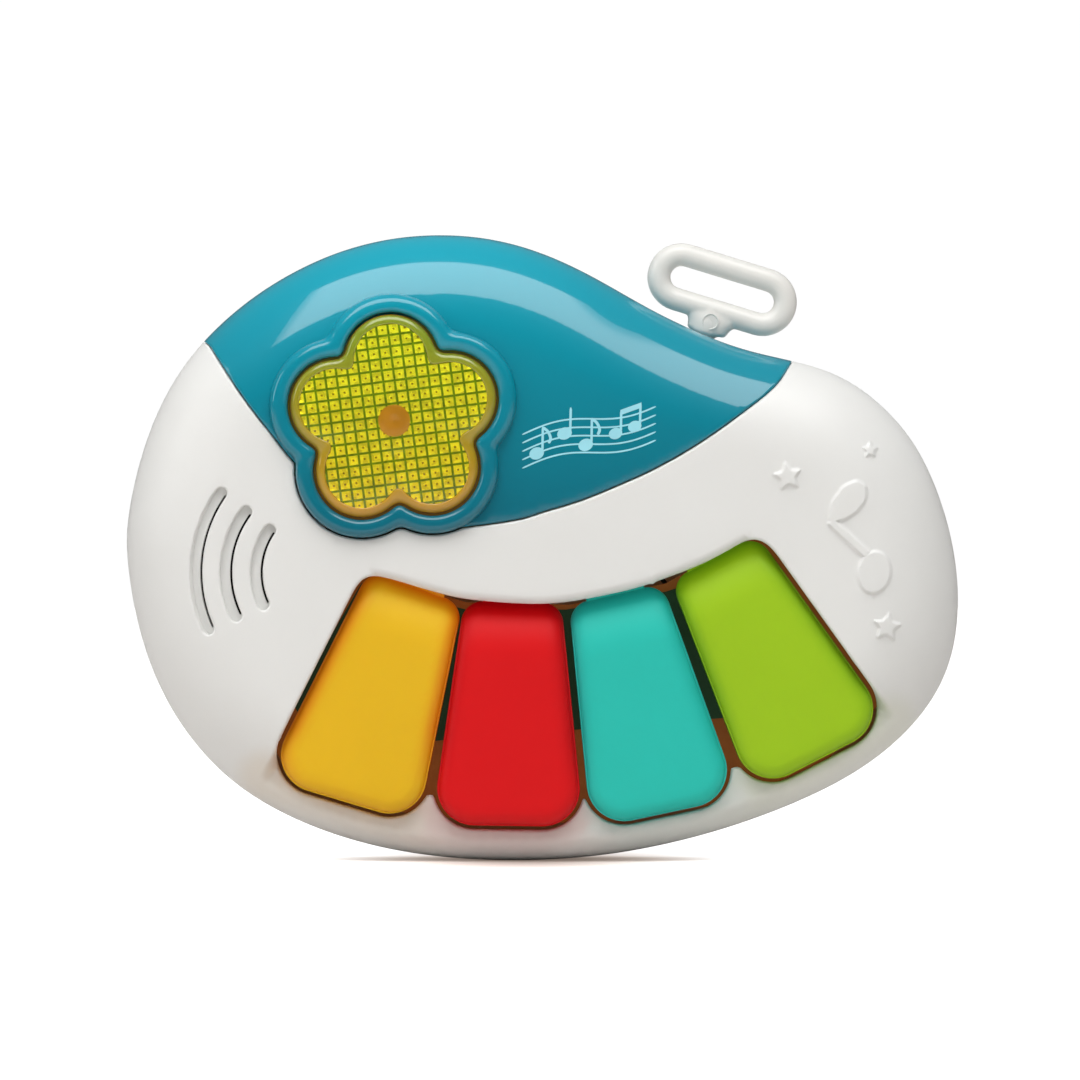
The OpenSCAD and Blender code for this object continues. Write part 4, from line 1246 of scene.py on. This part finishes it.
# ------------------------------------------------------------------ rubber domes
def build_dome(name, node, slot, centre, y, height, foot, top):
    """Hollow-topped dome from a foot radius to a top radius."""
    count = 48
    # radius, height above the foot
    profile = ((foot * 1.12, 0), (foot * 1.1, 0.12), (foot, 0.22), (foot * 0.93, 0.45),
        (top * 1.12, height * 0.72), (top, height * 0.86), (top, height * 0.97),
        (top * 0.92, height), (top * 0.7, height), (top * 0.66, height - 0.12),
        (0.01, height - 0.12))
    points = [point for radius, rise in profile for point in ring(centre, radius, y - rise, count)]
    ob = make(name, points, ring_faces(len(profile), count) + [tuple(range(count))], 50)
    recalculate_normals(ob.data)
    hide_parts(node)
    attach(ob, "case")
    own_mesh(ob)
    painted.append((ob, slot))


def build_domes():
    for k, name in enumerate(KEY_NAMES):
        top, up = key_axes(k)
        build_dome("rubber_dome_" + name, "dome_" + name, "keypad_rubber",
            top - PRESS_DROP * up, y=-1.3, height=3.3, foot=4.1, top=2.5)
    build_dome("rubber_dome_flower", "flower_dome", "silicone_pale", FLOWER,
        y=-4.6, height=5.0, foot=4.2, top=2.6)


front_case = build_front_case()
build_panel()
key_obs = build_keys()
build_flower()
build_rear_case()
build_loop()
build_print()
build_domes()


# ------------------------------------------------------------------ shader helpers
def feed(node, inputs):
    """Links sockets, and sets other values, on a node's inputs."""
    for key, value in inputs.items():
        if isinstance(value, bpy.types.NodeSocket):
            node.id_data.links.new(value, node.inputs[key])
        else:
            node.inputs[key].default_value = value


def add(tree, kind, inputs=None, **settings):
    node = tree.nodes.new("ShaderNode" + kind)
    for key, value in settings.items():
        setattr(node, key, value)
    feed(node, inputs or {})
    return node


def add_math(tree, operation, first, second=None):
    inputs = {0: first} if second is None else {0: first, 1: second}
    return add(tree, "Math", inputs, operation=operation).outputs[0]


def add_length(tree, vector):
    return add(tree, "VectorMath", {0: vector}, operation="LENGTH").outputs["Value"]


def add_noise(tree, vector, scale, detail=2):
    inputs = {"Vector": vector, "Scale": scale, "Detail": detail}
    return add(tree, "TexNoise", inputs).outputs["Fac"]


def add_range(tree, value, from_min=0, from_max=1, to_min=0, to_max=1, eased=False):
    inputs = {"Value": value, "From Min": from_min, "From Max": from_max, "To Min": to_min,
        "To Max": to_max}
    kind = "SMOOTHSTEP" if eased else "LINEAR"
    return add(tree, "MapRange", inputs, interpolation_type=kind).outputs["Result"]


def add_mix(tree, factor, first, second, blend="MIX"):
    inputs = {"Factor": factor, "A": first, "B": second}
    return add(tree, "Mix", inputs, data_type="RGBA", blend_type=blend).outputs["Result"]


def add_ramp(tree, factor, *stops):
    """Colour ramp with (position, colour) stops in rising order."""
    node = add(tree, "ValToRGB", {"Fac": factor})
    elements = node.color_ramp.elements
    for i, (position, colour) in enumerate((stops[0], stops[-1])):
        elements[i].position = position
        elements[i].color = tuple(colour[:3]) + (1,)
    for position, colour in stops[1:-1]:
        elements.new(position).color = tuple(colour[:3]) + (1,)
    return node.outputs["Color"]


def object_position(tree):
    return add(tree, "TexCoord").outputs["Object"]


def new_material(name):
    material = bpy.data.materials.new(name)
    material.use_nodes = True
    return material, material.node_tree


def principled(material):
    return material.node_tree.nodes["Principled BSDF"]


def base_colour(shader):
    """The socket that feeds a shader's colour."""
    return shader.inputs["Base Color"].links[0].from_socket


def linear(rgb):
    """Linear colour of 0-255 sRGB values."""
    rgb = np.array(rgb, float) / 255
    return tuple(np.where(rgb <= 0.04045, rgb / 12.92, ((rgb + 0.055) / 1.055) ** 2.4)) + (1,)


# ------------------------------------------------------------------ materials
def plastic(name, rgb, rough, vary, bump, grain, blotch, coat=0.0, coat_rough=0.05, sss=0.0,
        sss_rgb=(1, 1, 1), metal=0.0, spec=0.5, rough_vary=0.08, gradient=None, streak=None,
        edge_rgb=None, edge_from=0.2, glow=0.0):
    """Moulded surface with a faint grain, and blotches in its colour and roughness.

    vary is the strength of the blotches; bump and grain are the strength and scale of the grain,
    which streak stretches. gradient, (low z, high z, rgb, rgb) in mm, stands in for rgb. The rgb
    given for glancing angles takes over there as painted shade, and glow adds the colour as a
    painted glow."""
    material, tree = new_material(name)
    position = object_position(tree)
    blotches = add_noise(tree, position, blotch, detail=4)
    if gradient:
        low, high, low_rgb, high_rgb = gradient
        height = add(tree, "SeparateXYZ", {0: position}).outputs["Z"]
        part = add_range(tree, height, low / 1000, high / 1000)
        shade = add_ramp(tree, part, (0, linear(low_rgb)), (1, linear(high_rgb)))
        darker = add_ramp(tree, blotches, (0, (1 - vary,) * 3), (1, (1, 1, 1)))
        colour = add_mix(tree, 1.0, shade, darker, "MULTIPLY")
    else:
        base = np.array(linear(rgb)[:3])
        colour = add_ramp(tree, blotches, (0.3, base * (1 - vary)),
            (0.72, np.minimum(base * (1 + vary), 1)))
    # painted shade: a deeper colour towards glancing angles
    if edge_rgb:
        facing = add(tree, "LayerWeight", {"Blend": 0.5}).outputs["Facing"]
        amount = add_range(tree, facing, edge_from, 0.9, eased=True)
        colour = add_mix(tree, amount, colour, linear(edge_rgb))
    if streak:
        position = add(tree, "Mapping", {"Vector": position, "Scale": streak}).outputs["Vector"]
    relief = add(tree, "Bump", {"Strength": bump, "Distance": 0.0001,
        "Height": add_noise(tree, position, grain)})
    shader = principled(material)
    feed(shader, {
        "Base Color": colour,
        "Normal": relief.outputs["Normal"],
        "Roughness": add_range(tree, blotches, to_min=max(rough - rough_vary, 0.02),
            to_max=min(rough + rough_vary, 1)),
        "Metallic": metal,
        "Specular IOR Level": spec,
        "Coat Weight": coat,
        "Coat Roughness": coat_rough})
    # painted glow: the colour is given off as light, though the part is no lamp
    if glow:
        feed(shader, {"Emission Color": colour, "Emission Strength": glow})
    if sss:
        feed(shader, {"Subsurface Weight": sss, "Subsurface Radius": sss_rgb,
            "Subsurface Scale": 0.004})
    return material


CASE_WHITE = ((221, 221, 218), 0.42, 0.012, 0.06, 2500, 30,
    dict(spec=0.4, sss=0.06, sss_rgb=(1, 0.95, 0.9)))
# Slot or look: material name, rgb, roughness, blotch strength, bump, grain scale, blotch scale,
# further arguments of plastic
PLASTICS = {
    "white_shell": ("case_white", *CASE_WHITE),
    "front": ("case_white_front", *CASE_WHITE),
    "loop_white": ("loop_white", (218, 217, 212), 0.33, 0.012, 0.05, 2200, 40,
        dict(sss=0.1, sss_rgb=(1, 0.97, 0.92))),
    # painted shade: the teal panel's colour darkens towards the bottom
    "teal_gloss": ("panel_teal", None, 0.3, 0.03, 0.015, 900, 25,
        dict(coat=1.0, coat_rough=0.02, rough_vary=0.03, spec=0.1,
            gradient=(66, 130, (0, 98, 116), (2, 155, 176)))),
    # painted shade at glancing angles, and a painted glow on the lens rim
    "lens_lime": ("lens_rim", None, 0.18, 0.05, 0.02, 900, 60,
        dict(coat=0.5, coat_rough=0.04, sss=0.25, sss_rgb=(1, 0.9, 0.2), glow=0.1,
            gradient=(74, 108, (178, 132, 22), (128, 142, 34)),
            edge_rgb=(150, 88, 12), edge_from=0.25)),
    # painted glow on the hub
    "hub": ("lens_hub", (212, 148, 14), 0.3, 0.08, 0.03, 900, 300,
        dict(coat=0.2, sss=0.2, sss_rgb=(1, 0.7, 0.1), glow=0.3)),
    "print": ("print_ink", (150, 214, 226), 0.4, 0.05, 0.1, 1500, 200, {}),
    "black_plastic": ("black_plastic", (26, 27, 27), 0.45, 0.12, 0.15, 1800, 80, {}),
    # painted glow: light as if it came through the keys
    "keypad_rubber": ("keypad_rubber", (30, 52, 32), 0.6, 0.15, 0.2, 1500, 120, dict(glow=0.45)),
    "silicone_pale": ("silicone_pale", (210, 208, 198), 0.5, 0.04, 0.1, 1500, 80, dict(sss=0.2)),
    # painted glow: light as if it came through the keys
    "board_brown": ("board_brown", (150, 84, 36), 0.55, 0.12, 0.2, 1200, 160,
        dict(streak=(400, 400, 2400), glow=0.3)),
    "board_green": ("board_green", (26, 92, 50), 0.35, 0.1, 0.15, 1200, 160, dict(coat=0.4)),
    "screw_steel": ("screw_steel", (186, 188, 192), 0.32, 0.06, 0.2, 2500, 300, dict(metal=1.0)),
    "pin_steel": ("pin_steel", (178, 180, 184), 0.25, 0.05, 0.2, 2500, 300,
        dict(metal=1.0, streak=(3000, 300, 300))),
    "contact_nickel": ("contact_nickel", (206, 202, 192), 0.22, 0.06, 0.15, 2000, 300,
        dict(metal=1.0)),
    "basket_steel": ("basket_steel", (160, 162, 166), 0.35, 0.06, 0.2, 2000, 200,
        dict(metal=1.0)),
    "magnet_dark": ("magnet_dark", (42, 42, 45), 0.6, 0.15, 0.35, 1500, 150, dict(metal=0.3)),
    "cone_paper": ("cone_paper", (30, 30, 31), 0.85, 0.2, 0.5, 1800, 200, {}),
    "led_body": ("led_body", (238, 236, 222), 0.15, 0.02, 0.02, 900, 200,
        dict(coat=0.5, sss=0.3)),
    "wire_red": ("wire_red", (186, 28, 26), 0.4, 0.08, 0.1, 1500, 200, {}),
    "wire_black": ("wire_black", (24, 24, 25), 0.4, 0.1, 0.1, 1500, 200, {}),
    "cell_wrap": ("cell_wrap", (60, 64, 72), 0.28, 0.12, 0.1, 900, 40,
        dict(coat=0.5, metal=0.4, streak=(60, 900, 900))),
    "part_body": ("part_body", (50, 50, 92), 0.3, 0.12, 0.1, 1200, 200, dict(coat=0.3)),
}
# rgb, subsurface weight and rgb, painted shade rgb at glancing angles, painted shade rgb at the
# key's sides and its strength, painted glow under the band
KEY_LOOKS = {
    "yellow": ((220, 175, 27), 0.18, (1, 0.6, 0.1), (206, 118, 8), (214, 104, 6), 0.8, 0.34),
    "red": ((208, 10, 16), 0.12, (1, 0.1, 0.05), (180, 6, 16), (168, 2, 12), 0.55, 0.3),
    "turquoise": ((40, 184, 170), 0.15, (0.3, 0.9, 0.8), (28, 150, 138), (26, 156, 146), 0.55,
        0.3),
    "green": ((149, 188, 26), 0.15, (0.6, 1, 0.15), (110, 152, 16), (104, 158, 14), 0.6, 0.32),
}
# painted glow over each whole key
KEY_PAINTED_GLOW = 0.05


def key_plastic(name, rgb, sss, sss_rgb, edge_rgb, side_shade_rgb, side_shade_amount, glow_under_band):
    """Painted shade: deeper colour at the key's sides. Painted glow: light seeming to come through
    under the band.
    """
    material = plastic(name, rgb, rough=0.48, vary=0.02, bump=0.08, grain=2600, blotch=35,
        sss=sss, sss_rgb=sss_rgb, spec=0.2, edge_rgb=edge_rgb)
    tree, shader = material.node_tree, principled(material)
    attribute = add(tree, "Attribute", attribute_name="key_shade_and_glow").outputs["Vector"]
    parts = add(tree, "SeparateXYZ", {0: attribute})
    # painted shade: a deeper colour towards the key's sides
    amount = add_math(tree, "MULTIPLY", parts.outputs["X"], side_shade_amount)
    colour = add_mix(tree, amount, base_colour(shader), linear(side_shade_rgb))
    # painted glow, stronger under the band
    glow = add_range(tree, parts.outputs["Y"], to_min=KEY_PAINTED_GLOW, to_max=glow_under_band)
    feed(shader, {"Base Color": colour, "Emission Color": colour, "Emission Strength": glow})
    return material


def lens_prism():
    """Moulded prism grid: bright squares with a small dark pit, and darker green grooves, all
    painted: shade in the pits and grooves, a highlight round each pit, glints and a glow.
    """
    material = plastic("lens_prism", None, rough=0.18, vary=0.05, bump=0.03, grain=900,
        blotch=260, coat=0.3, gradient=(72, 112, (222, 196, 30), (224, 222, 38)))
    tree, shader = material.node_tree, principled(material)
    position = object_position(tree)
    cells = add(tree, "Mapping", {
        "Vector": position,
        "Location": (FLOWER[0] / 1000, 0, FLOWER[1] / 1000),
        "Rotation": (0, -PRISM_TILT, 0),
        "Scale": (PRISM_PITCH / 1000,) * 3}, vector_type="TEXTURE").outputs["Vector"]
    split = add(tree, "SeparateXYZ", {0: cells})

    def from_middle(axis):
        """Distance from the middle of a cell along one axis, in cells."""
        part = add_math(tree, "FRACT", add_math(tree, "ADD", split.outputs[axis], 0.5))
        return add_math(tree, "ABSOLUTE", add_math(tree, "SUBTRACT", part, 0.5))

    reach = add_math(tree, "MAXIMUM", from_middle("X"), from_middle("Z"))
    # painted shade in each pit and groove, and a painted highlight round each pit
    prism_shade_and_highlight = add_ramp(tree, reach, (0, (0.14, 0.1, 0.02)), (0.06, (0.34, 0.3, 0.1)),
        (0.12, (1, 1, 0.9)), (0.22, (0.92, 0.92, 0.85)), (0.37, (1, 1, 1)),
        (0.405, (0.5, 0.56, 0.25)), (0.44, (0.2, 0.34, 0.1)), (1, (0.14, 0.3, 0.06)))
    colour = add_mix(tree, 1.0, base_colour(shader), prism_shade_and_highlight, "MULTIPLY")
    # painted glints: lighter and darker facets at random, as if catching the light unevenly
    facets = add(tree, "TexVoronoi", {"Vector": position, "Scale": 1150}).outputs["Color"]
    grey = add(tree, "RGBToBW", {0: facets}).outputs[0]
    painted_glints = add_range(tree, grey, to_min=0.72, to_max=1.3)
    colour = add_mix(tree, 1.0, colour, painted_glints, "MULTIPLY")
    groove = dict(from_min=0.38, from_max=0.44)
    # the emission is a painted glow
    feed(shader, {
        "Base Color": colour,
        "Emission Color": colour,
        "Emission Strength": 0.62,
        "Specular IOR Level": add_range(tree, reach, **groove, to_min=0.45, to_max=0.04),
        "Coat Weight": add_range(tree, reach, **groove, to_min=0.3, to_max=0.0)})
    return material


def lens_cover():
    """Thin clear cover: tinted transparency with a glossy reflection."""
    material, tree = new_material("lens_cover")
    tree.nodes.remove(principled(material))
    tint = np.array((0.98, 0.99, 0.93))
    patches = add_noise(tree, object_position(tree), 300)
    colour = add_ramp(tree, patches, (0, tint * 0.94), (1, tint))
    clear = add(tree, "BsdfTransparent", {"Color": colour})
    gloss = add(tree, "BsdfGlossy", {"Roughness": 0.08})
    mixed = add(tree, "MixShader", {
        "Fac": add(tree, "Fresnel", {"IOR": 1.45}).outputs["Fac"],
        1: clear.outputs["BSDF"],
        2: gloss.outputs["BSDF"]})
    feed(tree.nodes["Material Output"], {"Surface": mixed.outputs["Shader"]})
    return material


def apply_key_light_bleed(material):
    """Multiplies a material's colour by the tint stored on the mesh, which paints the keys'
    coloured light onto the lip.
    """
    tree, shader = material.node_tree, principled(material)
    tint = add(tree, "Attribute", attribute_name="key_light_bleed").outputs["Color"]
    feed(shader, {"Base Color": add_mix(tree, 1.0, base_colour(shader), tint, "MULTIPLY")})


def store_colours(ob, name, colours):
    attribute = ob.data.color_attributes.new(name, "FLOAT_COLOR", "POINT")
    attribute.data.foreach_set("color", colours.ravel().astype(np.float32))


def store_key_shade_and_glow(k):
    """Stores how close each point of a key is to its sides, and to the band above it, for its
    painted shade and painted glow.
    """
    line = key_line(k, 0)
    low = min(line[:, 1])
    for ob in key_obs[k]:
        points = read_mm(ob)[:, [0, 2]]
        near_side = 1 - smooth(distance(points, line) / 4.2)
        upward = np.clip((points[:, 1] - low - 4) / 14, 0.12, 1)
        colours = np.ones((len(points), 4))
        colours[:, 0] = near_side * upward
        colours[:, 1] = smooth(1 - (distance(points, band_line, False) - 0.5) / 8.5)
        store_colours(ob, "key_shade_and_glow", colours)


def store_key_light_bleed(ob):
    """Painted light: the lip below the keys takes a little of each key's colour, as light from the
    keys would give it.
    """
    points = read_mm(ob)
    bleed_tints = np.array([(0.95, 0.895, 0.83), (0.905, 0.77, 0.75), (0.93, 0.94, 0.92),
        (0.95, 0.955, 0.89)])
    # distance from each key's lower edge
    away = np.array([distance(points[:, [0, 2]], corners[2:], False) for corners in KEYS])
    weights = 1 / (away + 0.5) ** 2.5
    weights /= weights.sum(0)
    colour = (weights[:, :, None] * bleed_tints[:, None, :]).sum(0)
    near = smooth(1 - (away.min(0) - 2.5) / 5.5) * (points[:, 1] < -4)
    colours = np.ones((len(points), 4))
    colours[:, :3] = 1 + (colour - 1) * near[:, None]
    store_colours(ob, "key_light_bleed", colours)


materials = {look: plastic(*row, **more) for look, (*row, more) in PLASTICS.items()}
for k, name in enumerate(KEY_NAMES):
    materials["key_" + name] = key_plastic("key_" + name, *KEY_LOOKS[name])
    store_key_shade_and_glow(k)
materials["prism"] = lens_prism()
materials["cover"] = lens_cover()
# painted light of the keys' colours on the lip below them
store_key_light_bleed(front_case)
apply_key_light_bleed(materials["front"])


def paint(ob, look):
    ob.data.materials.clear()
    ob.data.materials.append(materials[look])


for ob, look in painted:
    paint(ob, look)

# Bevel widths (m) of the pieces that keep their plain shapes
BEVELS = dict.fromkeys(("switch_knob", "key_frame", "key_board", "flower_board", "switch_body",
    "speaker_clamp", "board_parts"), 0.00025)
BEVELS["battery_door"] = 0.0004
for subpart in frame["record"]["subparts"]:
    ob = frame["nodes"][subpart["node"]]
    if ob.hide_render:
        continue
    paint(ob, subpart["material_slot"])
    if subpart["node"] in BEVELS:
        add_bevel(ob, BEVELS[subpart["node"]]).angle_limit = math.radians(40)


# ------------------------------------------------------------------ floor (m)
def floor_material():
    """White floor that glows towards the camera, with a warm shade under the toy."""
    material, tree = new_material("floor_white")
    white = (0.74, 0.71, 0.69, 1)
    to_camera = add(tree, "LightPath").outputs["Is Camera Ray"]
    position = object_position(tree)
    # soft shade round the spot the toy stands on, and deeper shade close to it
    spot = add(tree, "Mapping", {"Vector": position, "Location": (-0.003, 0, 0),
        "Scale": (0.042, 0.066, 1)}, vector_type="TEXTURE").outputs["Vector"]
    from_spot = add_length(tree, spot)
    spot_shade = add_range(tree, from_spot, 0.1, 1.0, 0.36, 1.0, eased=True)
    occlusion = add(tree, "AmbientOcclusion", {"Distance": 0.006}, samples=16).outputs["AO"]
    contact_shade = add_range(tree, add_math(tree, "POWER", occlusion, 1.5),
        to_min=0.6, to_max=1.0)
    shade = add_math(tree, "MULTIPLY", spot_shade, contact_shade)
    brightness = add_range(tree, add_length(tree, position), 0.1, 0.5, 0.88, 1.0)
    glow = add_math(tree, "MULTIPLY", to_camera, 1.0)
    glow = add_math(tree, "MULTIPLY", glow, brightness)
    # painted shadow: to the camera, the floor's colour darkens towards the toy's spot
    seen = add_ramp(tree, from_spot, (0.1, (0.1, 0.085, 0.075)), (1.0, white))
    feed(principled(material), {
        "Base Color": add_mix(tree, to_camera, white, seen),
        "Roughness": 0.6,
        "Emission Color": add_ramp(tree, shade, (0, (1.0, 0.72, 0.55)), (1, (1, 1, 1))),
        "Emission Strength": add_math(tree, "MULTIPLY", glow, shade)})
    return material


bpy.ops.mesh.primitive_plane_add(size=8, location=(0, 0, 0))
floor = bpy.context.object
floor.name = "floor"
floor.data.materials.append(floor_material())


# ------------------------------------------------------------------ world and lights (m)
def build_world():
    """Grey surroundings by height, dimmer in reflections and white to the camera."""
    world = bpy.data.worlds.new("studio")
    bpy.context.scene.world = world
    world.use_nodes = True
    tree = world.node_tree
    rays = add(tree, "LightPath")
    direction = add(tree, "TexCoord").outputs["Generated"]
    height = add_range(tree, add(tree, "SeparateXYZ", {0: direction}).outputs["Z"], -1, 1)
    sky = add_ramp(tree, height, (0, (0.30,) * 3), (0.45, (0.26,) * 3), (0.62, (0.18,) * 3),
        (0.8, (0.42,) * 3), (1, (0.55, 0.55, 0.56)))
    sky = add_mix(tree, rays.outputs["Is Glossy Ray"], sky, (0.55, 0.55, 0.55, 1), "MULTIPLY")
    sky = add_mix(tree, rays.outputs["Is Camera Ray"], sky, (1.02, 1.02, 1.02, 1))
    feed(tree.nodes["Background"], {"Color": sky, "Strength": 1.0})


def aim(ob, location, target):
    ob.location = location
    ob.rotation_mode = "QUATERNION"
    ob.rotation_quaternion = (Vector(target) - Vector(location)).to_track_quat("-Z", "Y")


def area_light(name, location, target, size, power):
    data = bpy.data.lights.new(name, "AREA")
    data.shape = "RECTANGLE"
    data.size, data.size_y = size
    data.energy = power
    ob = link(name, data)
    aim(ob, location, target)
    return ob


def fade_edges(light):
    """Dims a light box towards its edges."""
    light.data.use_nodes = True
    tree = light.data.node_tree
    surface = add(tree, "NewGeometry").outputs["Parametric"]
    place = add(tree, "SeparateXYZ", {0: surface})
    strength = None
    for axis, fade in (("X", 0.07), ("Y", 0.05)):
        for start, end in ((0.0, fade), (1.0, 1.0 - fade)):
            edge = add_range(tree, place.outputs[axis], start, end, 0.35, 1.0, eased=True)
            strength = edge if strength is None else add_math(tree, "MULTIPLY", strength, edge)
    feed(tree.nodes["Emission"], {"Strength": strength})


build_world()
top_box = area_light("top_box", location=(-0.02, -0.5, 0.95), target=(0, 0, 0.1),
    size=(1.15, 0.76), power=11.5)
fade_edges(top_box)
area_light("left_box", location=(-0.95, -0.35, 0.45), target=(0, 0, 0.08), size=(0.3, 0.5),
    power=1.6)
for name, location, power in (("front_fill", (0.15, -1.6, 0.35), 1.2),
        ("back_fill", (-0.3, 1.5, 0.7), 5.0)):
    fill = area_light(name, location, target=(0, 0, 0.06), size=(1.2, 1.0), power=power)
    fill.visible_glossy = False
    fill.visible_camera = False

# ------------------------------------------------------------------ camera (m)
CAMERA_DISTANCE = 1.8
VIEW_WIDTH = 0.2268  # seen at the toy
SENSOR_WIDTH = 36
CAMERA_RISE = math.radians(0.3)
camera_data = bpy.data.cameras.new("camera")
camera = link("camera", camera_data)
camera_data.sensor_width = SENSOR_WIDTH
camera_data.lens = SENSOR_WIDTH * CAMERA_DISTANCE / VIEW_WIDTH
camera_data.clip_start = 0.01
camera_data.clip_end = 50
view_target = Vector((-0.0005, 0, 0.0671))
view_offset = Vector((0, -CAMERA_DISTANCE * math.cos(CAMERA_RISE),
    CAMERA_DISTANCE * math.sin(CAMERA_RISE)))
aim(camera, view_target + view_offset, view_target)
bpy.context.scene.camera = camera
bpy.context.scene.view_settings.view_transform = "Standard"
